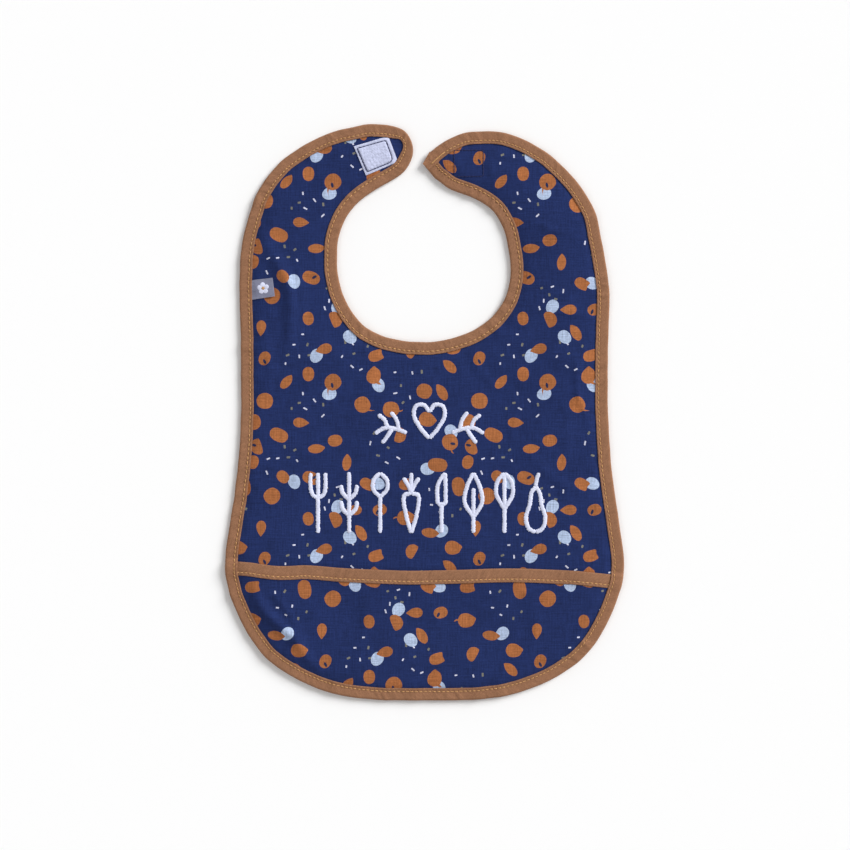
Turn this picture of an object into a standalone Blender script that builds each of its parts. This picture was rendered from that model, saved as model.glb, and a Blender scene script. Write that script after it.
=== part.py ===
"""A baby's bib with two neck straps, a crumb pocket, taped edges, embroidery and a hook-and-loop closure.

It lies flat with its printed face up. The origin is below the middle of its outline, on the surface it
lies on. +Y runs from the hem to the straps, +Z is up. Outlines are in millimetres and are turned into
metres when a solid is made.
"""

import math

import bmesh
import bpy
from mathutils import Vector
from mathutils.geometry import delaunay_2d_cdt

MM = 0.001
MERGE_DISTANCE = 1e-5

# Layers, from the table up. Each is a lowest and a highest height in millimetres.
TAPE_CLOTH = 0.7
LAYER_GAP = 0.15
UNDER_FLAP = (0.0, TAPE_CLOTH)
BACK_LAYER = (0.85, 1.35)
FRONT_LAYER = (1.5, 1.9)
TAPE_TOP = 2.75
TAPE_CAVITY = (TAPE_CLOTH, 2.05)
ON_FRONT = FRONT_LAYER[1] + LAYER_GAP

# Edge tape
TAPE_WIDTH = 8.0
CLOTH_INSET = 1.0
SEAM_INSET = 6.1
THREAD_RADIUS = 0.15
SIDE_GAP = 0.3
JOIN_TAB_TOP = 3.5

# Shoulder folds: the line that each strap turns on, as two points of the left one
FOLD_OUTER = (-115.3, 57.0)
FOLD_NECK = (-52.5, 79.9)
FOLD_CLEARANCE = 1.15
FOLD_HEIGHT = 0.7

# Pocket
POCKET_TOP_LEFT = (-116.6, -93.9)
POCKET_TOP_RIGHT = (116.9, -100.6)
POCKET_INSET = 8.5
POCKET_UNDER_FLAP = (ON_FRONT, 2.55)
POCKET_LAYER = (2.7, 3.1)
POCKET_OVER_FLAP = (3.25, 3.75)
POCKET_TAPE_WIDTH = 8.3
POCKET_SEAM = (11.0, 223.0)

# Closure pads
LOOP_PAD_CENTRE = (-30.1, 160.4)
LOOP_PAD_SIZE = (21.0, 19.0)
LOOP_PAD_TURN = math.radians(17.8)
LOOP_PAD_THICKNESS = 1.0
HOOK_PAD_CENTRE = (27.6, 155.3)
HOOK_PAD_SIZE = (21.0, 18.0)
PAD_SEAM_INSET = 2.2
GROOVE_WIDTH = 0.9
GROOVE_DEPTH = 0.5

# Side label, a folded ribbon
LABEL_START = -107.0
LABEL_SIZE = (12.8, 12.2)
LABEL_MIDDLE_Y = 77.0
LABEL_THICKNESS = 0.8
LABEL_FOLD = 1.2
LABEL_AXIS = (-107.15, 3.0)

# Embroidery
STROKE_WIDTH = 2.6
EMBROIDERY_THICKNESS = 0.5
ICON_PITCH = 19.4
FIRST_ICON_X = -66.5
ICON_ROW_Y = -56.5
CREST_MIDDLE = (3.0, -6.0)

# Where the outline is parted: the gap between the strap tips, the half width and lower end of the
# stretch that holds the neckline, and how far a piece runs past a fold before it is cut there
STRAP_GAP_X = -3.0
NECK_ZONE = (62.0, 30.0)
PAST_FOLD = 15.0

# Outline of the whole bib, counter-clockwise from the pointed tip of the right strap
CURVE_STEPS = 2
RIGHT_TIP = (-1.0, 155.0)
NECKLINE = [
    (6.5, 146), (17, 139), (30, 134), (41, 127.5), (48.5, 117), (52.5, 103), (54, 88), (51.5, 74),
    (45, 62.5), (34, 53), (17, 46), (-3, 43.7), (-22, 46.3), (-37, 53), (-47, 65), (-53, 79),
    (-54.8, 93), (-53.9, 109), (-49.5, 121.5), (-41, 132), (-29, 140), (-19, 145.5), (-11, 152),
    (-7.3, 161),
]
LEFT_STRAP_EDGE = [
    (-8, 169.5), (-14, 177), (-30, 180.2), (-46, 178), (-62, 173.5), (-78.4, 165), (-91.6, 155),
    (-102.8, 140), (-109, 125), (-113.5, 110), (-115.5, 92),
]
SIDE_EDGE = [
    (115.6, 70), (114.7, 40), (114.6, 5), (115.6, -22), (118.8, -50), (123.1, -78), (124.9, -95),
    (123.8, -106), (119.6, -120), (109.8, -140), (97.5, -155), (80, -167), (59, -175.3), (36, -179.6),
]
BOTTOM = (0, -180.3)
RIGHT_STRAP_EDGE = [
    (113.8, 90), (110.5, 108), (106.6, 125), (98, 140), (84.7, 155), (67, 168), (50, 174.8),
    (36, 175.7), (24, 174.5), (12, 169), (3.5, 162.5),
]

# Strokes of the embroidered icons, about each icon's own middle
ICONS = {
    "fork": [
        [(-4.6, 18.5), (-4.6, 9), (-3.3, 5), (0, 3.2), (3.3, 5), (4.6, 9), (4.6, 18.5)],
        [(0, 18.5), (0, 0), (0, -19)],
    ],
    "wheat": [
        [(0, 19), (0, 0), (0, -19)],
        [(0, 2), (4, 6), (5, 11)],
        [(0, 2), (-4, 6), (-5, 11)],
        [(0, -8), (4, -4), (5, 1)],
        [(0, -8), (-4, -4), (-5, 1)],
    ],
    "spoon": [
        [(0, 3.5), (-4.2, 8), (-4.2, 14), (0, 18.5)],
        [(0, 3.5), (4.2, 8), (4.2, 14), (0, 18.5)],
        [(0, 4), (0, -8), (0, -19)],
    ],
    "carrot": [
        [(0, 6), (-4.6, 4), (-3.2, -8), (0, -19)],
        [(0, 6), (4.6, 4), (3.2, -8), (0, -19)],
        [(0, 6), (0, 12), (0, 18.5)],
        [(0, 7), (-2.6, 12), (-5, 15.5)],
        [(0, 7), (2.6, 12), (5, 15.5)],
    ],
    "knife": [
        [(2, -1), (2, 10), (1.6, 18.5)],
        [(1.6, 18.5), (-2.8, 11), (-3, -1)],
        [(-3, -1), (-0.5, -1), (2, -1)],
        [(-0.5, -1), (-0.5, -10), (-0.5, -19)],
    ],
    "leaf": [
        [(0, -9), (-5.4, 0), (-4, 10), (0, 18.5)],
        [(0, -9), (5.4, 0), (4, 10), (0, 18.5)],
        [(0, 9), (0, -5), (0, -19)],
    ],
    "whisk": [
        [(0, -4), (-5, 5), (-4.4, 13), (0, 18.5)],
        [(0, -4), (5, 5), (4.4, 13), (0, 18.5)],
        [(0, 18.5), (0, 0), (0, -19)],
    ],
    "pear": [
        [(0, 10), (-2.6, 6), (-3.6, -1), (-6, -9), (-4.4, -16), (0, -18.5)],
        [(0, 10), (2.6, 6), (3.6, -1), (6, -9), (4.4, -16), (0, -18.5)],
        [(0, 10), (0.6, 14), (2.2, 18.5)],
    ],
}
HEART = [
    [(0, 6), (-3.5, 10.5), (-8.5, 9.5), (-9.5, 3.5), (-5.5, -4), (0, -10.5)],
    [(0, 6), (3.5, 10.5), (8.5, 9.5), (9.5, 3.5), (5.5, -4), (0, -10.5)],
]
BRANCH = [
    [(14, -7), (21, -4.5), (28, -4), (34, -7.5)],
    [(19, -5), (20.5, 1), (24, 6)],
    [(26, -4), (28, 1), (32, 4.5)],
    [(23, -4.2), (26.5, -9.5), (29.5, -13.5)],
]


def add(a, b, scale=1.0):
    """a plus scale times b."""
    return (a[0] + scale * b[0], a[1] + scale * b[1])


def dot(a, b):
    return a[0] * b[0] + a[1] * b[1]


def unit(a, b):
    """The unit vector from a to b."""
    length = math.dist(a, b)
    return ((b[0] - a[0]) / length, (b[1] - a[1]) / length)


def mirrored(points):
    """The points on the other side of the middle, in the opposite order."""
    return [(-x, y) for x, y in reversed(points)]


def tangents(points):
    """Slopes for a curve through the points that allow for their uneven spacing."""
    slopes = []
    for i in range(len(points)):
        before = points[max(i - 1, 0)]
        after = points[min(i + 1, len(points) - 1)]
        span = math.dist(before, points[i]) + math.dist(points[i], after)
        slopes.append(((after[0] - before[0]) / span, (after[1] - before[1]) / span))
    return slopes


def smooth(points, steps):
    """A curve through the points, with steps straight pieces between each pair."""
    slopes = tangents(points)
    curve = []
    for i in range(len(points) - 1):
        length = math.dist(points[i], points[i + 1])
        for k in range(steps):
            t = k / steps
            start = 2 * t**3 - 3 * t**2 + 1
            end = 3 * t**2 - 2 * t**3
            leave = length * (t**3 - 2 * t**2 + t)
            arrive = length * (t**3 - t**2)
            point = (start * points[i][0], start * points[i][1])
            point = add(point, points[i + 1], end)
            point = add(point, slopes[i], leave)
            curve.append(add(point, slopes[i + 1], arrive))
    curve.append(points[-1])
    return curve


def inset(loop, distance):
    """A counter-clockwise loop moved inwards, with mitred corners and the same number of points."""
    moved = []
    for i in range(len(loop)):
        before = unit(loop[i - 1], loop[i])
        after = unit(loop[i], loop[(i + 1) % len(loop)])
        normal = (-before[1] - after[1], before[0] + after[0])
        moved.append(add(loop[i], normal, distance / (1 + dot(before, after))))
    return moved


def clipped(points, plane, closed=True):
    """The part of a polygon or an open path on the side that the plane's normal points to."""
    origin, normal = plane
    kept = []
    for i in range(len(points)):
        a = points[i - 1]
        b = points[i]
        side_a = dot(add(a, origin, -1), normal)
        side_b = dot(add(b, origin, -1), normal)
        if side_a * side_b < 0 and (closed or i > 0):
            kept.append(add(a, add(b, a, -1), side_a / (side_a - side_b)))
        if side_b >= 0:
            kept.append(b)
    return kept


def run_of(loop, keep):
    """The indices of the one unbroken stretch of the loop that keep() accepts."""
    flags = [keep(point) for point in loop]
    start = next(i for i in range(len(loop)) if flags[i] and not flags[i - 1])
    indices = []
    for step in range(len(loop)):
        index = (start + step) % len(loop)
        if not flags[index]:
            break
        indices.append(index)
    return indices


def rectangle(centre, size, turn=0.0):
    """The corners of a turned rectangle."""
    corners = []
    for sx, sy in ((-1, -1), (1, -1), (1, 1), (-1, 1)):
        x = sx * size[0] / 2
        y = sy * size[1] / 2
        turned = (x * math.cos(turn) - y * math.sin(turn), x * math.sin(turn) + y * math.cos(turn))
        corners.append(add(centre, turned))
    return corners


def stroke_outline(points):
    """The outline of a line of the embroidery's width with round ends."""
    path = smooth(points, 2)
    half = STROKE_WIDTH / 2
    right = []
    left = []
    for i, point in enumerate(path):
        ahead = unit(path[max(i - 1, 0)], path[min(i + 1, len(path) - 1)])
        right.append(add(point, (ahead[1], -ahead[0]), half))
        left.append(add(point, (-ahead[1], ahead[0]), half))
    end = round_end(path[-1], unit(path[-2], path[-1]), half)
    start = round_end(path[0], unit(path[1], path[0]), half)
    return right + end + left[::-1] + start


def round_end(centre, ahead, radius):
    """The three points that round off a stroke's end."""
    right = (ahead[1], -ahead[0])
    points = []
    for angle in (math.radians(45), math.radians(90), math.radians(135)):
        point = add(centre, right, radius * math.cos(angle))
        points.append(add(point, ahead, radius * math.sin(angle)))
    return points


def linear(channel):
    """A display colour's channel, from 0 to 255, as scene light."""
    value = channel / 255
    return value / 12.92 if value <= 0.04045 else ((value + 0.055) / 1.055) ** 2.4


def material(name, colour, roughness):
    mat = bpy.data.materials.new(name)
    mat.use_nodes = True
    shader = mat.node_tree.nodes["Principled BSDF"]
    shader.inputs["Base Color"].default_value = (*[linear(c) for c in colour], 1.0)
    shader.inputs["Roughness"].default_value = roughness
    shader.inputs["Metallic"].default_value = 0.0
    return mat


def keep_object(obj, mat, collection):
    obj.data.materials.clear()
    if mat:
        obj.data.materials.append(mat)
    collection.objects.link(obj)
    return obj


def slab(name, outlines, heights, mat):
    """Flat cloth: closed outlines, the second and later ones holes, between two heights."""
    curve = bpy.data.curves.new(name, "CURVE")
    curve.dimensions = "2D"
    curve.fill_mode = "BOTH"
    curve.extrude = (heights[1] - heights[0]) / 2 * MM
    for outline in outlines:
        spline = curve.splines.new("POLY")
        spline.points.add(len(outline) - 1)
        for spot, (x, y) in zip(spline.points, outline):
            spot.co = (x * MM, y * MM, 0, 1)
        spline.use_cyclic_u = True
    obj = bpy.data.objects.new(name, curve)
    obj.location.z = (heights[0] + heights[1]) / 2 * MM
    return keep_object(obj, mat, PARTS)


def tube(name, points, mat, closed=False):
    """A thread along points in space."""
    curve = bpy.data.curves.new(name, "CURVE")
    curve.dimensions = "3D"
    curve.bevel_depth = THREAD_RADIUS * MM
    curve.bevel_resolution = 0
    curve.use_fill_caps = not closed
    spline = curve.splines.new("POLY")
    spline.points.add(len(points) - 1)
    for spot, (x, y, z) in zip(spline.points, points):
        spot.co = (x * MM, y * MM, z * MM, 1)
    spline.use_cyclic_u = closed
    return keep_object(bpy.data.objects.new(name, curve), mat, PARTS)


def as_mesh(obj, mat, collection):
    """The same shape as a closed mesh object, which a Boolean can cut or use."""
    bpy.context.view_layer.update()
    name = obj.name
    evaluated = obj.evaluated_get(bpy.context.evaluated_depsgraph_get())
    mesh = bpy.data.meshes.new_from_object(evaluated)
    place = obj.matrix_world.copy()
    bpy.data.objects.remove(obj)
    mesh.name = name
    shape = bmesh.new()
    shape.from_mesh(mesh)
    bmesh.ops.remove_doubles(shape, verts=shape.verts, dist=1e-6)
    bmesh.ops.recalc_face_normals(shape, faces=shape.faces)
    shape.to_mesh(mesh)
    shape.free()
    solid = bpy.data.objects.new(name, mesh)
    solid.matrix_world = place
    return keep_object(solid, mat, collection)


def combine(target, other, operation, mat):
    """Cuts or trims the target with the other solid, which becomes a cutter."""
    if target.type == "CURVE":
        target = as_mesh(target, mat, PARTS)
    cutter = as_mesh(other, None, CUTTERS)
    cutter.hide_render = True
    cutter.display_type = "WIRE"
    modifier = target.modifiers.new(operation.title(), "BOOLEAN")
    modifier.operation = operation
    modifier.solver = "EXACT"
    modifier.object = cutter
    return target


def ribbon(outer, inner, indices):
    """The strip between two matching loops along a stretch of them."""
    return [outer[i] for i in indices] + [inner[i] for i in reversed(indices)]


def clip_all(points, planes, closed=True):
    for plane in planes:
        points = clipped(points, plane, closed)
    return points


def edge_tape(name, indices, planes):
    """Tape folded over the edge: a channel that is open to the cloth and at both ends."""
    strip = clip_all(ribbon(OUTLINE, inset(OUTLINE, TAPE_WIDTH), indices), planes)
    body = slab(name, [strip], (0.0, TAPE_TOP), BINDING)
    room = ribbon(inset(OUTLINE, TAPE_CLOTH), inset(OUTLINE, TAPE_WIDTH + TAPE_CLOTH), indices)
    hollow = slab(name + "_hollow", [room], TAPE_CAVITY, None)
    return combine(body, hollow, "DIFFERENCE", BINDING)


def seam(name, indices, planes):
    """The line of stitching on an edge tape, clear of the folds at its ends."""
    line = inset(OUTLINE, SEAM_INSET)
    path = clip_all([line[i] for i in indices], planes, closed=False)
    height = TAPE_TOP + LAYER_GAP + THREAD_RADIUS
    return tube(name, [(x, y, height) for x, y in path], OCHRE)


def strap_cloth(side, planes, centre_plane):
    """A strap's printed cloth and its backing."""
    sheet = clip_all(inset(OUTLINE, CLOTH_INSET), [centre_plane, *planes])
    return [
        slab(f"front_{side}_strap", [sheet], FRONT_LAYER, PRINT),
        slab(f"back_{side}_strap", [sheet], BACK_LAYER, BACKING),
    ]


def join_tab():
    """The tape's folded end, laid over its start at the pointed tip."""
    count = len(OUTLINE)
    indices = [count - 2, count - 1, 0]
    strip = ribbon(inset(OUTLINE, SIDE_GAP), inset(OUTLINE, TAPE_WIDTH), indices)
    return slab("binding_join_tab", [strip], (TAPE_TOP + LAYER_GAP, JOIN_TAB_TOP), BINDING)


def right_strap_seam(indices, planes):
    """The right strap's stitching, which steps up over the folded tape end."""
    line = inset(OUTLINE, SEAM_INSET)
    low = TAPE_TOP + LAYER_GAP + THREAD_RADIUS
    high = JOIN_TAB_TOP + LAYER_GAP + THREAD_RADIUS
    over_tab = [line[-2], line[-1], line[0]]
    path = clip_all([line[i] for i in indices], planes, closed=False)
    points = [(*point, high if point in over_tab else low) for point in path]
    return tube("stitch_right_strap", points, OCHRE)


def loop_pad():
    """The pile pad, with a groove for its stitching, trimmed where it meets the edge tape."""
    low = ON_FRONT
    high = ON_FRONT + LOOP_PAD_THICKNESS
    pad = slab("loop_pad", [rectangle(LOOP_PAD_CENTRE, LOOP_PAD_SIZE, LOOP_PAD_TURN)], (low, high), PILE)
    room = slab("loop_pad_room", [inset(OUTLINE, TAPE_WIDTH + SIDE_GAP)], (low - 1, high + 1), None)
    pad = combine(pad, room, "INTERSECT", PILE)
    seam_size = [length - 2 * PAD_SEAM_INSET for length in LOOP_PAD_SIZE]
    rings = []
    for grow in (GROOVE_WIDTH, -GROOVE_WIDTH):
        size = [length + grow for length in seam_size]
        rings.append(rectangle(LOOP_PAD_CENTRE, size, LOOP_PAD_TURN))
    groove = slab("loop_pad_groove", rings, (high - GROOVE_DEPTH, high + 1), None)
    pad = combine(pad, groove, "DIFFERENCE", PILE)
    height = high - GROOVE_DEPTH + LAYER_GAP + THREAD_RADIUS
    corners = rectangle(LOOP_PAD_CENTRE, seam_size, LOOP_PAD_TURN)
    thread = tube("stitch_loop_pad", [(x, y, height) for x, y in corners], DARK_THREAD, closed=True)
    return [pad, thread]


def hook_pad():
    """The hook pad under the right strap, and its stitching, which shows on the printed face."""
    pad = slab("hook_pad", [rectangle(HOOK_PAD_CENTRE, HOOK_PAD_SIZE)], UNDER_FLAP, HOOKS)
    room = slab("hook_pad_room", [inset(OUTLINE, TAPE_WIDTH + SIDE_GAP)], (-1, 2), None)
    pad = combine(pad, room, "INTERSECT", HOOKS)
    size = (HOOK_PAD_SIZE[0] - 2 * PAD_SEAM_INSET, HOOK_PAD_SIZE[1] - 2 * PAD_SEAM_INSET)
    height = ON_FRONT + THREAD_RADIUS
    corners = rectangle(HOOK_PAD_CENTRE, size)
    thread = tube("stitch_hook_pad", [(x, y, height) for x, y in corners], DARK_THREAD, closed=True)
    return [pad, thread]


def pocket():
    """The crumb pocket's panel, the tape over its mouth and the tape's stitching."""
    along = unit(POCKET_TOP_LEFT, POCKET_TOP_RIGHT)
    down = (along[1], -along[0])
    inside = inset(OUTLINE, POCKET_INSET)

    def below(distance):
        return (add(POCKET_TOP_LEFT, down, distance), down)

    def above(distance):
        return (add(POCKET_TOP_LEFT, down, distance), (-down[0], -down[1]))

    panel = slab("pocket_panel", [clipped(inside, below(CLOTH_INSET))], POCKET_LAYER, PRINT)
    strip = clip_all(inside, [below(0.0), above(POCKET_TAPE_WIDTH)])
    heights = (POCKET_UNDER_FLAP[0], POCKET_OVER_FLAP[1])
    tape = slab("pocket_binding", [strip], heights, BINDING)
    room = clip_all(OUTLINE, [below(TAPE_CLOTH), above(POCKET_TAPE_WIDTH + 1)])
    hollow = slab("pocket_binding_hollow", [room], (POCKET_UNDER_FLAP[1], POCKET_OVER_FLAP[0]), None)
    tape = combine(tape, hollow, "DIFFERENCE", BINDING)
    height = POCKET_OVER_FLAP[1] + LAYER_GAP + THREAD_RADIUS
    start = add(POCKET_TOP_LEFT, down, SEAM_INSET)
    ends = [add(start, along, distance) for distance in POCKET_SEAM]
    thread = tube("stitch_pocket", [(x, y, height) for x, y in ends], OCHRE)
    return [panel, tape, thread]


def side_label():
    """A ribbon folded in two, with its fold at the free end."""
    low = ON_FRONT
    high = low + LABEL_THICKNESS
    middle = (LABEL_START + LABEL_SIZE[0] / 2, LABEL_MIDDLE_Y)
    label = slab("side_label", [rectangle(middle, LABEL_SIZE)], (low, high), LABEL)
    slot_size = (LABEL_SIZE[0], LABEL_SIZE[1] + 2)
    slot_middle = (middle[0] - LABEL_FOLD, middle[1])
    slot_heights = (low + 0.3, high - 0.3)
    slot = slab("side_label_slot", [rectangle(slot_middle, slot_size)], slot_heights, None)
    return combine(label, slot, "DIFFERENCE", LABEL)


def embroidered(name, strokes, middle):
    """One embroidered figure: the area that its strokes cover, as a raised shape."""
    corners = []
    outlines = []
    for points in strokes:
        outline = stroke_outline([add(point, middle) for point in points])
        outlines.append(range(len(corners), len(corners) + len(outline)))
        corners += [Vector(point) for point in outline]
    flat = delaunay_2d_cdt(corners, [], outlines, 0, MERGE_DISTANCE)
    covered = [face for face, strokes_over_it in zip(flat[2], flat[5]) if strokes_over_it]
    mesh = bpy.data.meshes.new(name)
    mesh.from_pydata([(x * MM, y * MM, ON_FRONT * MM) for x, y in flat[0]], [], covered)
    figure = keep_object(bpy.data.objects.new(name, mesh), WHITE_THREAD, PARTS)
    solidify = figure.modifiers.new("Solidify", "SOLIDIFY")
    solidify.thickness = EMBROIDERY_THICKNESS * MM
    solidify.offset = 1.0
    return figure


def embroidery():
    figures = [
        embroidered("embroidery_heart", HEART, CREST_MIDDLE),
        embroidered("embroidery_branch_right", BRANCH, CREST_MIDDLE),
        embroidered("embroidery_branch_left", [mirrored(line) for line in BRANCH], CREST_MIDDLE),
    ]
    for i, (name, strokes) in enumerate(ICONS.items()):
        middle = (FIRST_ICON_X + i * ICON_PITCH, ICON_ROW_Y)
        figures.append(embroidered(f"embroidery_{name}", strokes, middle))
    return figures


def hang(name, place, pieces):
    """An empty on a joint's axis, with the pieces that turn about it."""
    empty = bpy.data.objects.new(name, None)
    empty.location = [value * MM for value in place]
    PARTS.objects.link(empty)
    bpy.context.view_layer.update()
    for piece in pieces:
        piece.parent = empty
        piece.matrix_parent_inverse = empty.matrix_world.inverted()
    return empty


for old in list(bpy.data.objects):
    bpy.data.objects.remove(old)

PARTS = bpy.data.collections.new("baby_bib")
CUTTERS = bpy.data.collections.new("cutters")
bpy.context.scene.collection.children.link(PARTS)
bpy.context.scene.collection.children.link(CUTTERS)

PRINT = material("printed_cotton", (35, 48, 95), 0.85)
BACKING = material("coated_backing", (205, 208, 212), 0.5)
BINDING = material("bias_tape", (148, 106, 79), 0.9)
OCHRE = material("ochre_thread", (190, 142, 72), 0.6)
DARK_THREAD = material("dark_thread", (62, 62, 92), 0.6)
WHITE_THREAD = material("white_thread", (225, 225, 245), 0.45)
PILE = material("loop_pile", (208, 212, 238), 0.95)
HOOKS = material("hook_tape", (200, 204, 224), 0.5)
LABEL = material("label_ribbon", (125, 128, 140), 0.6)

FREE_EDGE = NECKLINE + LEFT_STRAP_EDGE + mirrored(SIDE_EDGE[::-1]) + [BOTTOM]
FREE_EDGE += SIDE_EDGE[::-1] + RIGHT_STRAP_EDGE
OUTLINE = [RIGHT_TIP] + smooth(FREE_EDGE, CURVE_STEPS)

fold_along = unit(FOLD_OUTER, FOLD_NECK)
LEFT_UP = (-fold_along[1], fold_along[0])
RIGHT_UP = (fold_along[1], fold_along[0])
LEFT_FOLD = FOLD_NECK
RIGHT_FOLD = (-FOLD_NECK[0], FOLD_NECK[1])


def past_left(point):
    """How far a point lies beyond the left shoulder fold."""
    return dot(add(point, LEFT_FOLD, -1), LEFT_UP)


def past_right(point):
    """How far a point lies beyond the right shoulder fold."""
    return dot(add(point, RIGHT_FOLD, -1), RIGHT_UP)


def strap_plane(fold, up):
    return (add(fold, up, FOLD_CLEARANCE), up)


def body_plane(fold, up):
    return (add(fold, up, -FOLD_CLEARANCE), (-up[0], -up[1]))


def in_neck_zone(point):
    return abs(point[0]) < NECK_ZONE[0] and point[1] > NECK_ZONE[1]


BODY_PLANES = [body_plane(LEFT_FOLD, LEFT_UP), body_plane(RIGHT_FOLD, RIGHT_UP)]
LEFT_PLANES = [strap_plane(LEFT_FOLD, LEFT_UP)]
RIGHT_PLANES = [strap_plane(RIGHT_FOLD, RIGHT_UP)]

left_run = run_of(OUTLINE, lambda p: p[0] < STRAP_GAP_X and past_left(p) > -PAST_FOLD)
right_run = run_of(OUTLINE, lambda p: p[0] > STRAP_GAP_X and past_right(p) > -PAST_FOLD)
neck_run = run_of(OUTLINE, lambda p: in_neck_zone(p) and max(past_left(p), past_right(p)) < PAST_FOLD)
side_run = run_of(OUTLINE, lambda p: not in_neck_zone(p) and max(past_left(p), past_right(p)) < PAST_FOLD)

body_sheet = clip_all(inset(OUTLINE, CLOTH_INSET), BODY_PLANES)
slab("front_panel", [body_sheet], FRONT_LAYER, PRINT)
slab("back_panel", [body_sheet], BACK_LAYER, BACKING)
edge_tape("edge_binding_outer", side_run, BODY_PLANES)
edge_tape("edge_binding_neck", neck_run, BODY_PLANES)
seam("stitch_outer", side_run, BODY_PLANES)
seam("stitch_neck", neck_run, BODY_PLANES)
embroidery()

left_strap = strap_cloth("left", LEFT_PLANES, ((STRAP_GAP_X, 0), (-1, 0)))
left_strap.append(edge_tape("binding_left_strap", left_run, LEFT_PLANES))
left_strap.append(seam("stitch_left_strap", left_run, LEFT_PLANES))
left_strap += loop_pad()

right_strap = strap_cloth("right", RIGHT_PLANES, ((STRAP_GAP_X, 0), (1, 0)))
right_strap.append(edge_tape("binding_right_strap", right_run, RIGHT_PLANES))
right_strap.append(right_strap_seam(right_run, RIGHT_PLANES))
right_strap.append(join_tab())
right_strap += hook_pad()

left_hinge = hang("left_strap_fold", (*LEFT_FOLD, FOLD_HEIGHT), left_strap)
hang("right_strap_fold", (*RIGHT_FOLD, FOLD_HEIGHT), right_strap)
hang("pocket_open", (0, BOTTOM[1] + POCKET_INSET, POCKET_LAYER[1]), pocket())
label_hinge = hang("label_flip", (LABEL_AXIS[0], LABEL_MIDDLE_Y, LABEL_AXIS[1]), [side_label()])
label_hinge.parent = left_hinge
label_hinge.matrix_parent_inverse = left_hinge.matrix_world.inverted()
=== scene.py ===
"""The looks of a cloth baby bib lying flat: printed cotton, bias tape, lockstitches, satin embroidery.

Every piece is worked out flat, in millimetres, from the bib's outline. A shared relief then lifts it, so
the layers, tapes and threads follow the same soft folds. Objects are made in metres.
"""

import math

import bpy
import numpy as np
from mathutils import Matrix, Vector
from mathutils.geometry import delaunay_2d_cdt


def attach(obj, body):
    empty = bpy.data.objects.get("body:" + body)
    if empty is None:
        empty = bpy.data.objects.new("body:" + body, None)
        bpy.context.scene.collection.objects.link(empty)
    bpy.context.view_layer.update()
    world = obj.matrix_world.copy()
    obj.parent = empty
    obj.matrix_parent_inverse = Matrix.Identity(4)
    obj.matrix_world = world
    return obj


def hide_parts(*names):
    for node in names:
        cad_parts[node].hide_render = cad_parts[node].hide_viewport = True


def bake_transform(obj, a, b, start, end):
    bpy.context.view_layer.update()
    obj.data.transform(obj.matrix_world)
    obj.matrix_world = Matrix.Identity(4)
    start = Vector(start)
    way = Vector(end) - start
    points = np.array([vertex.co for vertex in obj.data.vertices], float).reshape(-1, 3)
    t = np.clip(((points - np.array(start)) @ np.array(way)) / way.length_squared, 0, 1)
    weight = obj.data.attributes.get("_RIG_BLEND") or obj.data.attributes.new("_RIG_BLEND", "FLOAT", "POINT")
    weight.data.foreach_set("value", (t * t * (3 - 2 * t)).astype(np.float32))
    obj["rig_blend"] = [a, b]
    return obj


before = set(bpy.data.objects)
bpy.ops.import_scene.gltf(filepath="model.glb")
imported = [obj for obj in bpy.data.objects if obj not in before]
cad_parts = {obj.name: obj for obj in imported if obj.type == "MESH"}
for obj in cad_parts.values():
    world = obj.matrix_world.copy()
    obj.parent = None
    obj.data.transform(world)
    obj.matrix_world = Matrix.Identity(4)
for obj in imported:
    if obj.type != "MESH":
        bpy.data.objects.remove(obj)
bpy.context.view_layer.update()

MM = 0.001
SEED = 20

# Layers above the relief, in millimetres
BACK_TOP = 1.35
BACK_THICKNESS = 0.4
FRONT_TOP = 1.9
FRONT_THICKNESS = 0.4
FLAP_BOTTOM = 1.93
FLAP_THICKNESS = 0.68
UNDER_FLAP_TOP = 0.62
POCKET_TOP = 2.5
POCKET_THICKNESS = 0.3
POCKET_UNDER_FLAP = (1.93, 2.14)
POCKET_OVER_FLAP = (2.54, 3.1)
SIDE_LIFT_POCKET = 0.62
SIDE_LIFT_TAPE = 1.15

# Edge tape, its seam and the thread
TAPE_WIDTH = 8.0
SEAM_INSET = 5.9
CLOTH_INSET = 2.2
STATION = 0.65
STITCH_PITCH = 2.8
STITCH_LENGTH = 1.95
THREAD_RADIUS = 0.3

# Shoulder folds, as in the CAD
FOLD_OUTER = (-115.3, 57.0)
FOLD_NECK = (-52.5, 79.9)
BLEND_BEFORE = 13.0
BLEND_AFTER = 7.0
CUT_BEFORE = 17.0
STRAP_GAP_X = -3.0

# Pocket: its mouth, a little wavy where the CAD's is straight, and its hinge
POCKET_MOUTH = [
    (-121, -93.2), (-116.1, -93.3), (-108.4, -93.8), (-100.2, -95.0), (-92.0, -95.9), (-82.2, -95.8),
    (-75.7, -95.4), (-67.5, -95.8), (-55.2, -96.9), (-43.0, -97.6), (-26.6, -98.3), (-10.0, -98.8),
    (8.5, -98.6), (26.0, -98.1), (43.6, -97.5), (61.1, -97.5), (78.6, -98.2), (96.2, -99.1),
    (116.3, -101.3), (121, -101.9),
]
POCKET_TAPE_WIDTH = 8.7
POCKET_TAPE_REACH = 119.4
POCKET_HINGE_Y = -171.8

# Closure pads and label, close to the CAD's
LOOP_PAD = [(-36.6, 147.6), (-16.6, 156.3), (-22.6, 172.3), (-44.2, 165.8)]
LOOP_PAD_SEAM = [(-35.7, 149.9), (-19.4, 156.7), (-24.2, 169.6), (-42.1, 164.5)]
HOOK_PAD_CENTRE = (27.6, 155.3)
HOOK_PAD_SIZE = (21.0, 18.0)
LABEL_ROOT = (-108.9, 76.1)
LABEL_SIZE = (14.8, 12.2)
LABEL_TURN = math.radians(7.0)

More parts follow.
